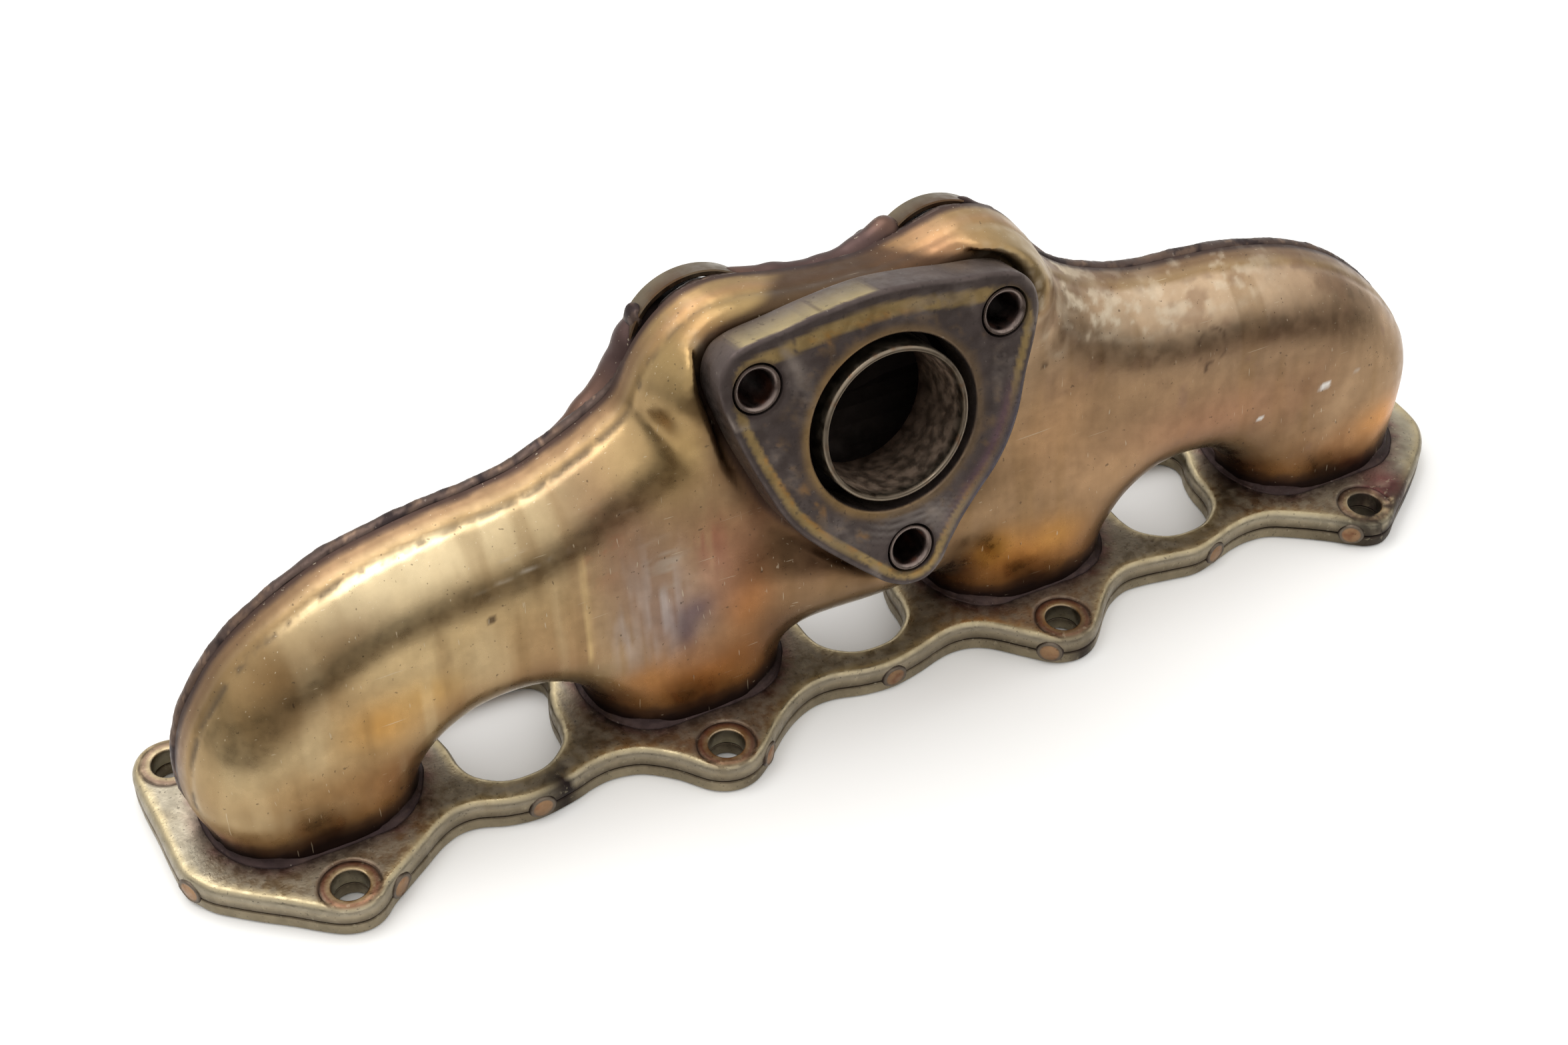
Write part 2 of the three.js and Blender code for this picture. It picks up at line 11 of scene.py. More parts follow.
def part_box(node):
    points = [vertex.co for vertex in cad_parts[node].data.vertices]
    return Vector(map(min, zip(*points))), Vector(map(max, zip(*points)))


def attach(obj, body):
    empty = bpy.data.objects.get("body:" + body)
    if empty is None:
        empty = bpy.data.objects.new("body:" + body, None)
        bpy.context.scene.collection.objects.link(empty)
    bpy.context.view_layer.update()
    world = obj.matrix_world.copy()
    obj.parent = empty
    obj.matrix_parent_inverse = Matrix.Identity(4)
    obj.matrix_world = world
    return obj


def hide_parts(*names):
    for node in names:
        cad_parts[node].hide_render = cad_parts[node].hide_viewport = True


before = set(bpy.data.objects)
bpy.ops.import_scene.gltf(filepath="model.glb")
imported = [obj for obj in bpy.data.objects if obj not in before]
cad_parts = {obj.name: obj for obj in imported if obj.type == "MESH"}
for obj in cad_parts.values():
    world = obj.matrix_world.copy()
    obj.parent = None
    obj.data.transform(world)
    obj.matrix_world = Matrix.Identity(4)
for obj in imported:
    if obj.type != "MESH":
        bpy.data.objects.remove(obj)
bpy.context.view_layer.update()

# ---- frame ------------------------------------------------------------------
# Shapes are worked out in millimetres with bolt 1 of the near row at (0, 0) and
# z = 0 on top of the head flange, and moved to the row frame in metres by place().
PLATE_LEFT, PLATE_NEAR = -36.6, -8.7
plate_low, plate_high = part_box("upper_plate")
SHIFT = np.array([plate_low.x * 1000 - PLATE_LEFT, plate_low.y * 1000 - PLATE_NEAR, plate_high.z * 1000])
UPPER_T = (plate_high.z - plate_low.z) * 1000
LOWER_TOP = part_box("lower_plate")[1].z * 1000 - SHIFT[2]
FLANGE_T = SHIFT[2]
MM = 0.001


def place(points):
    """From the modelling frame in millimetres to the row frame in metres."""
    return (np.asarray(points, float) + SHIFT) * MM


# ---- driving dimensions, millimetres -------------------------------------------
PORT_X = [1.7, 101.7, 201.0, 299.0]
PORT_Y = 33.0            # joint line of the shells at the foot
LEAN = 0.12              # how far the joint plane leans back for each millimetre of height
REAR_Y = 53.0            # upright back wall of the rear shell
BEAD = 1.5               # the seam weld stands this far outside the sheet
SHELL_DEPTH = 19.9       # depth of the front shell
FOOT_Z = -4.9            # lower end of the legs
NEAR_BOLTS = [(0, 0), (100, 0), (200, 0), (300, 0)]
FAR_BOLTS = [(-26.8, 56.9), (51, 61.8), (150.6, 61.8), (249.6, 61.8), (327.5, 56.9)]
BOLT_R = 4.6
OUT_C = np.array([151.5, 11.3, 77.3])         # centre of the outlet face
OUT_N = np.array([0.013, -0.9687, 0.2480])    # outward normal of the outlet face
OUT_N /= np.linalg.norm(OUT_N)
OUT_U = np.cross([0, 0, 1], OUT_N)
OUT_U /= np.linalg.norm(OUT_U)
OUT_V = np.cross(OUT_N, OUT_U)
OUT_T = 12.0
OUT_BORE = 23.1          # radius
LINER_R = 20.2
LINER_BORE = 18.6
OUT_BOLTS = [(-34.8, 20.6), (32.6, 19.5), (1.1, -35.4)]
SLEEVE_R = 6.2
SLEEVE_BORE = 4.4
SLEEVE_LEN = [42, 42, 22]
HOOP_R = 19.2
HOOP_FROM = 30.5         # distance behind the outlet face
HOOP_LEN = 6.5
HOOP_WALL = 1.6

# near edge of the head flange, left to right, then the far edge back again
NEAR_EDGE = [
    (-35, 22), (-33.2, 17.8), (-30.5, 13.6), (-25.7, 9.3), (-21.1, 5.6), (-14.5, 0.7), (-8.6, -4.1),
    (-4.6, -6.8), (-0.6, -8.1), (2.9, -8), (6, -6.6), (9.3, -3.7), (13.3, -1), (20.3, 3.7),
    (26.2, 7.6), (31, 9.4), (35.7, 9.3), (43.4, 6.5), (51, 5.3), (61.4, 6.8), (66.7, 8.3),
    (71.6, 8.9), (76, 8.3), (79.9, 6.9), (86.7, 1.5), (92.7, -5.5), (96.3, -7.8), (100.4, -8.7),
    (104.4, -8), (109, -5.2), (113.4, -1.2), (118.9, 3.2), (124.3, 6.3), (129.6, 8), (135.1, 8),
    (143.6, 5.8), (151.6, 5), (160.8, 6.5), (166.3, 8), (171.3, 8.8), (176.6, 8.1), (181, 5.8),
    (188.2, -1.3), (193.6, -6.5), (197.2, -8.1), (201.5, -8.5), (206, -7), (210.4, -3.3),
    (214, 0.5), (219.3, 5), (225.7, 7.6), (231.7, 7.4), (240, 5.9), (247.5, 4.8), (256.6, 6.8),
    (262.1, 8.3), (267.5, 8.9), (273.5, 8.2), (279.8, 4.8), (288.2, -1.1), (293.6, -5.6),
    (297, -7.8), (301, -8.4), (305, -6.8), (309.1, -3.6), (318.9, 3.4), (326.2, 9),
    (331.6, 13.8), (335, 18.4), (336.8, 23.6)]
FAR_EDGE = [
    (337.2, 34), (337.2, 54), (336.6, 59.2), (334.6, 62.9), (331.4, 65.3), (327.5, 66), (323.4, 65.3),
    (315, 62.6), (304, 61), (290, 60.9), (274, 61.8), (264, 65.2), (256.5, 69.2), (249.5, 70.4),
    (242.5, 69.2), (235, 65.2), (225, 61.8), (201, 60.9), (177, 62.2), (166, 65.8), (158, 69.6),
    (150.7, 70.6), (143.4, 69.6), (135.4, 65.8), (124.4, 62.2), (101.5, 60.9), (76, 61.8), (66, 65.2),
    (58, 69.2), (51, 70.4), (44, 69.2), (36, 65.2), (26, 61.8), (10.6, 60.9), (-3.4, 61), (-14.4, 62.6),
    (-22.8, 65.3), (-26.8, 66), (-30.8, 65.3), (-34, 62.9), (-36, 59.2), (-36.6, 54), (-36, 40)]
# windows between the ports: centres, and half of the outline from its middle line
WINDOW_X = [51.2, 150.6, 249.6]
WINDOW_SIDE = [(4.5, 14.4), (9.2, 17), (12.4, 20.6), (13.7, 25), (14.1, 31), (15.4, 36.5),
               (17.2, 41), (17, 44.6), (14.4, 47.6), (8, 49)]
# outline of the body in its joint plane, as x and height: over the top, then the three arches
BODY_TOP = [
    (-25.6, -20), (-25.6, -8), (-25.6, 1.5), (-26.4, 4.4), (-28, 8.6), (-29, 13.5), (-29.1, 18.5),
    (-28.5, 23.5), (-27, 29.5), (-24.5, 35.5), (-20.6, 41.3), (-15.8, 47.4), (-10, 52.6), (-2.6, 57.5),
    (6, 61.9), (15, 65.6), (27, 68.4), (40, 70.5), (54, 71.9), (64, 73.7), (73.5, 77.3), (84, 82.2),
    (92.2, 87.6), (96.6, 93), (101, 98.4), (106, 102.9), (112, 106), (118.6, 107), (125.5, 106),
    (133, 103.6), (142, 101.6), (151.5, 101), (161, 101.8), (170, 103.4), (178, 105.8), (184.4, 107),
    (190.6, 106), (196.4, 103), (201.4, 98.6), (206.4, 92.8), (211.6, 87.4), (218.5, 82.4),
    (228.5, 78), (240, 74.8), (254, 73.4), (268, 71.8), (280, 69.3), (292, 65.6), (303, 60.3),
    (311.7, 54.2), (318.4, 48.2), (324, 41.6), (328, 35.3), (330, 28.5), (330.3, 22), (329.4, 15.5),
    (328.2, 9), (327.1, 4.4), (326.5, 1.5), (326.5, -8), (326.5, -20)]
ARCHES = [
    [(271.5, -20), (271.5, -8), (271.5, 3.4), (269, 7.4), (264.8, 11.6), (258.4, 15),
     (250, 16.2), (241.6, 15.2), (235, 11.6), (231, 7.4), (228.5, 3.4), (228.5, -8), (228.5, -20)],
    [(173.5, -20), (173.5, -8), (173.5, 3.4), (171.4, 7), (166.6, 10.8), (159.5, 13.2), (151.3, 13.9),
     (143.2, 13.2), (136, 10.8), (131.3, 7), (129.2, 3.4), (129.2, -8), (129.2, -20)],
    [(74.2, -20), (74.2, -8), (74.2, 3.4), (72, 7.4), (67.8, 11.6), (60.8, 15),
     (52, 16.2), (43.4, 15.2), (36, 11.6), (31.4, 7.4), (29.2, 3.4), (29.2, -8), (29.2, -20)]]
# outlet flange in its own plane, u to the right and v up
OUT_SHAPE = [
    (-44.4, 21.5), (-43.4, 26.6), (-40.6, 30.3), (-36.2, 32.0), (-27.8, 33.0), (-17.3, 34.3),
    (-6.6, 35.1), (0.4, 35.1), (11.0, 33.8), (21.8, 31.8), (32.2, 30.1), (37.8, 28.2), (41.4, 24.2),
    (42.7, 18.9), (41.2, 11.4), (37.9, 1.7), (35.0, -8.2), (31.8, -15.1), (27.5, -21.2),
    (21.6, -27.2), (16.6, -32.6), (12.4, -38.3), (9.6, -42.6), (5.2, -45.6), (-0.7, -45.8),
    (-5.9, -43.3), (-10.9, -38.9), (-16.9, -33.2), (-23.6, -26.4), (-28.6, -20.4), (-31.9, -15.2),
    (-35.2, -7.6), (-38.9, 1.6), (-42.3, 12.2)]
# plug welds: eight along the near edge, six along the far edge
EDGE_WELDS = [
    (-33.4, 19.2), (11.2, -1.4), (51.5, 6.9), (108.9, -3.7), (151.5, 6.2), (193.8, -4.7),
    (254, 8.1), (293.6, -3.6),
    (-10, 61.8), (26, 61.8), (101.5, 60.9), (201, 60.9), (274, 61.8), (310, 61.8)]


# ---- outlines ---------------------------------------------------------------------
def smooth_loop(points, step=1.0):
    """Closed Catmull-Rom curve through the points, about one vertex per step."""
    p = np.asarray(points, float)
    n = len(p)
    out = []
    for i in range(n):
        a, b, c, d = p[i - 1], p[i], p[(i + 1) % n], p[(i + 2) % n]
        k = max(2, int(round(np.linalg.norm(c - b) / step)))
        ta = np.linalg.norm(b - a) ** 0.5
        tb = np.linalg.norm(c - b) ** 0.5
        tc = np.linalg.norm(d - c) ** 0.5
        m1 = (b - a) / ta - (c - a) / (ta + tb) + (c - b) / tb
        m2 = (c - b) / tb - (d - b) / (tb + tc) + (d - c) / tc
        m1, m2 = m1 * tb, m2 * tb
        t = (np.arange(k) / k)[:, None]
        out.append((2 * t**3 - 3 * t**2 + 1) * b + (t**3 - 2 * t**2 + t) * m1
                   + (3 * t**2 - 2 * t**3) * c + (t**3 - t**2) * m2)
    return np.concatenate(out)


def turn_steps(n):
    """n equal steps of angle round a full turn."""
    return np.arange(n) / n * 2 * np.pi


def circle(cx, cy, r, n=48):
    a = turn_steps(n)
    return np.stack([cx + r * np.cos(a), cy + r * np.sin(a)], 1)


def ccw(p):
    """The closed loop in counter-clockwise order."""
    q = np.roll(p, -1, 0)
    area = 0.5 * np.sum(p[:, 0] * q[:, 1] - q[:, 0] * p[:, 1])
    return p if area > 0 else p[::-1]


def loop_normals(p):
    """Outward unit normals of a counter-clockwise loop."""
    t = np.roll(p, -1, 0) - np.roll(p, 1, 0)
    t /= np.linalg.norm(t, axis=1)[:, None]
    return np.stack([t[:, 1], -t[:, 0]], 1)


def polygon_distance(x, y, loop):
    """Signed distance to a closed polygon, positive inside."""
    shape = x.shape
    p = np.stack([x.ravel(), y.ravel()], 1).astype(np.float32)
    a = loop.astype(np.float32)
    b = np.roll(a, -1, 0)
    best = np.full(len(p), 1e12, np.float32)
    inside = np.zeros(len(p), bool)
    for (ax, ay), (bx, by) in zip(a, b):
        ex, ey = bx - ax, by - ay
        wx, wy = p[:, 0] - ax, p[:, 1] - ay
        t = np.clip((wx * ex + wy * ey) / (ex * ex + ey * ey), 0, 1)
        d = (wx - t * ex) ** 2 + (wy - t * ey) ** 2
        np.minimum(best, d, out=best)
        cond = (ay > p[:, 1]) != (by > p[:, 1])
        if cond.any():
            side = wx < ex * wy / (ey if ey != 0 else 1e-9)
            inside ^= cond & side
    d = np.sqrt(best)
    return np.where(inside, d, -d).reshape(shape)


def smooth_min(a, b, k):
    """Smaller of two fields, blended over a width k."""
    h = np.clip(0.5 + 0.5 * (b - a) / k, 0, 1)
    return b + (a - b) * h - k * h * (1 - h)


def smooth_max(a, b, k):
    return -smooth_min(-a, -b, k)


def ramp(a, b, x):
    """Soft step from 0 at x = a to 1 at x = b."""
    t = np.clip((x - a) / (b - a), 0, 1)
    return t * t * (3 - 2 * t)


def ridge(x, width):
    """Soft band round x = 0, where it is 1."""
    return np.exp(-((x / width) ** 2))


def cell_corners(f):
    """Corners of a grid cell with the trilinear weight of each at the fractions f."""
    for corner in product((0, 1), repeat=3):
        x, y, z = (f[..., k] if corner[k] else 1 - f[..., k] for k in range(3))
        yield corner, x * y * z


# ---- meshes -------------------------------------------------------------------------
def link(name, mesh, smooth=True):
    """Puts a mesh in the scene as an object."""
    obj = bpy.data.objects.new(name, mesh)
    bpy.context.scene.collection.objects.link(obj)
    if smooth:
        mesh.polygons.foreach_set("use_smooth", [True] * len(mesh.polygons))
    mesh.update()
    return obj


def mesh_object(name, verts, faces):
    mesh = bpy.data.meshes.new(name)
    mesh.from_pydata(place(verts).tolist(), [], [tuple(int(i) for i in f) for f in faces])
    mesh.validate()
    return link(name, mesh)


def piece(obj, slot, *nodes):
    """Puts a visible piece under the root body and hides the CAD nodes it stands in for; the material slot it
    is given is not used.
    """
    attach(obj, "root")
    if nodes:
        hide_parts(*nodes)
    return obj


def sharpen(obj, degrees):
    """Smooth shading that breaks at edges sharper than the angle."""
    obj.data.set_sharp_from_angle(angle=math.radians(degrees))


def skin(rings, closed_v=False, caps=False):
    """Quads through closed rings of points, rings[v][u]; returns vertices and faces."""
    r = np.asarray(rings, float)
    nv, nu = r.shape[:2]
    faces = []
    for v in range(nv if closed_v else nv - 1):
        w = (v + 1) % nv
        for u in range(nu):
            t = (u + 1) % nu
            faces.append((v * nu + u, v * nu + t, w * nu + t, w * nu + u))
    if caps:
        faces += [tuple(range(nu)), tuple(range(nv * nu - nu, nv * nu))]
    return r.reshape(-1, 3), faces


def surface_net(field, low, cell):
    """Quad mesh of the zero level of a 3-D field that is negative inside."""
    inside = field < 0
    corners = np.stack([inside[tuple(slice(k, n - 1 + k) for k, n in zip(corner, inside.shape))]
                        for corner in product((0, 1), repeat=3)])
    some = corners.any(0) & ~corners.all(0)
    cells = np.argwhere(some)
    index = np.full(some.shape, -1)
    index[tuple(cells.T)] = np.arange(len(cells))
    total = np.zeros((len(cells), 3))
    count = np.zeros(len(cells))
    for axis, step in enumerate(np.eye(3, dtype=int)):
        others = [a for a in range(3) if a != axis]
        for p, q in product((0, 1), repeat=2):
            o = np.zeros(3, int)
            o[others[0]], o[others[1]] = p, q
            a = field[tuple((cells + o).T)]
            b = field[tuple((cells + o + step).T)]
            cross = (a < 0) != (b < 0)
            t = np.where(cross, a / np.where(cross, a - b, 1), 0)
            at = cells + o + t[:, None] * step
            total[cross] += at[cross]
            count += cross
    verts = low + cell * total / count[:, None]
    faces = []
    for axis in range(3):
        others = [a for a in range(3) if a != axis]
        sl = [slice(1, s - 1) if a != axis else slice(0, s - 1) for a, s in enumerate(field.shape)]
        sh = [slice(1, s - 1) if a != axis else slice(1, s) for a, s in enumerate(field.shape)]
        a, b = inside[tuple(sl)], inside[tuple(sh)]
        edges = np.argwhere(a != b)
        flip = a[tuple(edges.T)]
        base = edges + np.array([0 if k == axis else 1 for k in range(3)])
        e0 = np.zeros(3, int)
        e1 = np.zeros(3, int)
        e0[others[0]], e1[others[1]] = 1, 1
        ids = [index[tuple((base - p * e0 - q * e1).T)] for p, q in ((1, 1), (0, 1), (0, 0), (1, 0))]
        quad = np.stack(ids, 1)
        if axis == 1:
            flip = ~flip
        quad[~flip] = quad[~flip][:, ::-1]
        faces.append(quad[(quad >= 0).all(1)])
    return verts, np.concatenate(faces)


def sample(field, low, cell, points):
    """Trilinear value of the field at points."""
    g = (points - low) / cell
    i = np.clip(np.floor(g).astype(int), 0, np.array(field.shape) - 2)
    total = 0
    for (dx, dy, dz), weight in cell_corners(g - i):
        total = total + weight * field[i[:, 0] + dx, i[:, 1] + dy, i[:, 2] + dz]
    return total


def relax(verts, faces, rounds, amount=0.5):
    """Moves each vertex towards the mean of its neighbours; open rims stay where they are."""
    e = np.concatenate([faces[:, [0, 1]], faces[:, [1, 2]], faces[:, [2, 3]], faces[:, [3, 0]]])
    key = np.sort(e, 1)
    uniq, number = np.unique(key, axis=0, return_counts=True)
    rim = np.zeros(len(verts), bool)
    rim[uniq[number == 1].ravel()] = True
    n = np.bincount(uniq.ravel(), minlength=len(verts)).astype(float)
    for _ in range(rounds):
        total = np.stack([np.bincount(uniq[:, 0], verts[uniq[:, 1], k], len(verts))
                          + np.bincount(uniq[:, 1], verts[uniq[:, 0], k], len(verts)) for k in range(3)], 1)
        mean = total / np.maximum(n, 1)[:, None]
        verts = np.where(rim[:, None], verts, verts + amount * (mean - verts))
    return verts


# ---- stamped shells ---------------------------------------------------------------
EDGE_REACH = 20.0        # how far in the rounding goes
ROUNDING = 2.25          # superellipse exponent of the rounding
FIELD_SCALE = 17.0       # turns the rounding's field into about millimetres
ROLL_TOP = 111.4         # highest point of the sheet over the ears
CELL = 1.0               # grid step
OUTLET_SPAN = (84, 219)  # stretch of x that the outlet's pads and dents can reach

BODY_OUTLINE = BODY_TOP + [q for arch in ARCHES for q in arch]
body_loop = smooth_loop(BODY_OUTLINE, 1.2)
out_loop = smooth_loop(OUT_SHAPE, 1.5)


def joint_y(z):
    """Place of the joint plane at a height."""
    return PORT_Y + LEAN * np.maximum(z, 0)


def outlet_coordinates(x, y, z):
    """u to the right, v up and s behind the outlet face."""
    p = [x - OUT_C[0], y - OUT_C[1], z - OUT_C[2]]
    u = sum(p[i] * OUT_U[i] for i in range(3))
    v = sum(p[i] * OUT_V[i] for i in range(3))
    s = -sum(p[i] * OUT_N[i] for i in range(3))
    return u, v, s


def shell_field(side, low, shape, cell, grow):
    """Field of one half of the body on a grid of x, depth from the joint plane, and z."""
    x = low[0] + cell * np.arange(shape[0])
    w = low[1] + cell * np.arange(shape[1])
    z = low[2] + cell * np.arange(shape[2])
    gx, gz = np.meshgrid(x, z, indexing="ij")
    s = polygon_distance(gx, gz, body_loop) - BEAD + grow
    # soften the crease lines where two rims are equally near
    rim = np.maximum(1 - s / EDGE_REACH, 0)
    if side < 0:
        depth = SHELL_DEPTH + front_relief(gx, gz)
    else:
        depth = REAR_Y - joint_y(gz) + rear_relief(gx, gz)
    away = np.maximum(-w if side < 0 else w, 0)[None, :, None] / depth[:, None, :]
    f = (rim[:, None, :] ** ROUNDING + away**ROUNDING) ** (1 / ROUNDING) - 1
    field = (f * FIELD_SCALE).astype(np.float32)
    if side < 0:
        add_outlet_seat(field, x, w, z, s)
        add_hem_line(field, s, w, z, x)
    else:
        add_shoulders(field, x, w, z)
    return field


# chains of x, distance behind the joint plane, z and radius, on the rear shell
SHOULDERS = [
    [(72, 3.5, 70.5, 2.6), (86, 4.5, 78.5, 3.6), (97, 6, 86.3, 4.9), (100.8, 6, 93, 4.9),
     (105.4, 6, 99, 4.4)],
    [(127, 6, 101.4, 3.4), (138, 5, 99.6, 3.2), (151, 4.5, 98, 3.2), (162, 5.5, 98.8, 3.6),
     (170, 6.5, 101.6, 4.2)],
    [(192, 6, 101.6, 3.6), (198, 5.5, 96.6, 3.8), (206, 4.5, 89, 3.2), (214, 3.5, 82, 2.4)]]


def add_shoulders(field, x, w, z):
    """Swellings of the rear shell that carry the hoops and show past the joint line."""
    for chain in SHOULDERS:
        chain = np.array(chain)
        i0, i1 = np.searchsorted(x, [chain[:, 0].min() - 8, chain[:, 0].max() + 8])
        k0 = np.searchsorted(z, chain[:, 2].min() - 9)
        gx, gw, gz = np.meshgrid(x[i0:i1], w, z[k0:], indexing="ij")
        part = field[i0:i1, :, k0:]
        for a, b in zip(chain[:-1], chain[1:]):
            ab = b[:3] - a[:3]
            t = ((gx - a[0]) * ab[0] + (gw - a[1]) * ab[1] + (gz - a[2]) * ab[2]) / (ab @ ab)
            t = np.clip(t, 0, 1)
            d = np.sqrt(sum((g - a[k] - t * ab[k])**2 for k, g in enumerate((gx, gw, gz))))
            part = smooth_min(part, d - (a[3] + t * (b[3] - a[3])), 2.5)
        field[i0:i1, :, k0:] = part
    # the sheet fills the inside of both hoops, a narrow slot below the straps
    i0, i1 = np.searchsorted(x, OUTLET_SPAN)
    gx, gw, gz = np.meshgrid(x[i0:i1], w, z, indexing="ij")
    u, v, s = outlet_coordinates(gx, joint_y(gz) + gw, gz)
    part = field[i0:i1]
    for bu, bv in OUT_BOLTS[:2]:
        drum = np.hypot(u - bu, v - bv) - (HOOP_R - 3.0)
        drum = smooth_max(drum, s - HOOP_FROM - HOOP_LEN + 1.0, 3.0)
        part = smooth_min(part, drum, 2.0)
    field[i0:i1] = part


def add_hem_line(field, s, w, z, x):
    """Shallow groove 8 mm inside the front shell's edge, where the hem was pressed."""
    top = (np.clip(ramp(24, 34, z)[None, :] + ramp(-14, -20, x)[:, None], 0, 1)
           * ramp(12, 6, s))
    field += (0.3 * top[:, None, :] * ridge(-w - 8.2, 0.9)[None, :, None]).astype(np.float32)


def front_relief(x, z):
    """Gentle swellings of the front half: legs stand forward, the log between them lies back."""
    r = np.zeros_like(x)
    for px in PORT_X:
        r += 1.3 * ridge(x - px, 20) * ramp(42, 12, z)
    r -= 1.3 * np.exp(-(((x - 84) / 15) ** 2) - ((z - 62) / 20) ** 2)
    r -= 1.0 * np.exp(-(((x - 219) / 15) ** 2) - ((z - 64) / 20) ** 2)
    return r


def rear_relief(x, z):
    """The rear half lies a little flatter between the legs."""
    r = np.zeros_like(x)
    for px in PORT_X:
        r -= 0.9 * (1 - ridge(x - px, 24)) * ramp(60, 10, z)
    return r


def ear_roll(u, v, s, z, inset, rim):
    """Rounded bulge of sheet that comes forward over each upper ear of the outlet flange."""
    bulge = smooth_max(7.4 - s, -inset - 10.0, 6.0)
    bulge = smooth_max(bulge, z + 0.3 * (s - 10) - ROLL_TOP, 6.0)
    bulge = smooth_max(bulge, 0.5 - rim, 4.0)
    bulge = smooth_max(bulge, np.minimum(u + 9, 13 - u), 10.0)
    return smooth_max(bulge, 5 - v, 16.0)


def add_outlet_seat(field, x, w, z, rim):
    """Pad behind the outlet flange, belly under its lower ear and dents round its two upper ears."""
    i0, i1 = np.searchsorted(x, OUTLET_SPAN)
    gx, gw, gz = np.meshgrid(x[i0:i1], w, z, indexing="ij")
    gy = joint_y(gz) + gw
    u, v, s = outlet_coordinates(gx, gy, gz)
    # the outline distance is worked out once on a fine plane and looked up
    step = 0.5
    pu, pv = np.arange(-80, 80, step), np.arange(-90, 60, step)
    plane = polygon_distance(*np.meshgrid(pu, pv, indexing="ij"), out_loop)
    iu = np.clip((u + 80) / step, 0, len(pu) - 2)
    iv = np.clip((v + 90) / step, 0, len(pv) - 2)
    a, b = iu.astype(int), iv.astype(int)
    fu, fv = iu - a, iv - b
    inset = ((1 - fu) * (1 - fv) * plane[a, b] + fu * (1 - fv) * plane[a + 1, b]
             + (1 - fu) * fv * plane[a, b + 1] + fu * fv * plane[a + 1, b + 1])
    part = field[i0:i1]
    belly = (np.sqrt(((gx - 151.5) / 36) ** 2 + ((gy - 26) / 15.5) ** 2 + ((gz - 30) / 17) ** 2) - 1) * 15
    part = smooth_min(part, belly, 9)
    pad = smooth_max(2.2 - inset, OUT_T + 0.5 - s, 2.5)
    part = smooth_min(part, pad, 7)
    part = smooth_min(part, ear_roll(u, v, s, gz, inset, rim[i0:i1, None, :]), 9)
    pocket = np.maximum(-inset - 1.5, s - (OUT_T + 0.4))
    part = smooth_max(part, -pocket, 3.5)
    field[i0:i1] = part


def build_shell(side):
    """Sheet of the front half (side -1) or the rear half (side 1), as vertices and quads."""
    grow = 0.9 if side < 0 else -0.3
    w0, w1 = (-27.0, 1.3) if side < 0 else (-0.4, 22.0)
    low = np.array([-33.0, w0, FOOT_Z])
    shape = (int(368 / CELL), int((w1 - w0) / CELL) + 1, int(119 / CELL))
    field = shell_field(side, low, shape, CELL, grow)
    verts, faces = surface_net(field, low, CELL)
    verts = relax(verts, faces, 2)
    for _ in range(2):
        value = sample(field, low, CELL, verts)
        g = np.stack([sample(field, low, CELL, verts + d) - sample(field, low, CELL, verts - d)
                      for d in np.eye(3) * 0.6], 1) / 1.2
        keep = np.abs(value) < 1.5
        move = value[:, None] * g / np.maximum((g**2).sum(1), 0.05)[:, None]
        verts = np.where(keep[:, None], verts - 0.9 * move, verts)
    verts = relax(verts, faces, 1, 0.3)
    verts[:, 1] += joint_y(verts[:, 2])
    return verts, faces


def cut_holes(verts, faces):
    """Opens the shell for the gas and for the three sleeves."""
    mid = verts[faces].mean(1)
    u, v, s = outlet_coordinates(*mid.T)
    gone = (np.hypot(u, v) < OUT_BORE + 1.6) & (s < 24)
    for (bu, bv), length in zip(OUT_BOLTS, SLEEVE_LEN):
        gone |= (np.hypot(u - bu, v - bv) < SLEEVE_R - 0.9) & (s < length)
    return faces[~gone]


def add_shell(name, side):
    verts, faces = build_shell(side)
    shell = mesh_object(name + "_skin", verts, cut_holes(verts, faces))
    return piece(shell, "shell_steel", name)


front = add_shell("front_shell", -1)
rear = add_shell("rear_shell", 1)


# ---- flange plates -------------------------------------------------------------------
def edge_profile(z0, z1, top, bottom, steps=5):
    """Inset from the outline and height of each ring, top to bottom; top and bottom are (inset, drop)."""
    angles = [math.pi / 2 * k / steps for k in range(steps + 1)]
    rows = [(top[0] * (1 - math.sin(a)), z1 - top[1] * (1 - math.cos(a))) for a in angles]
    return rows + [(bottom[0] * (1 - math.cos(a)), z0 + bottom[1] * (1 - math.sin(a))) for a in angles]


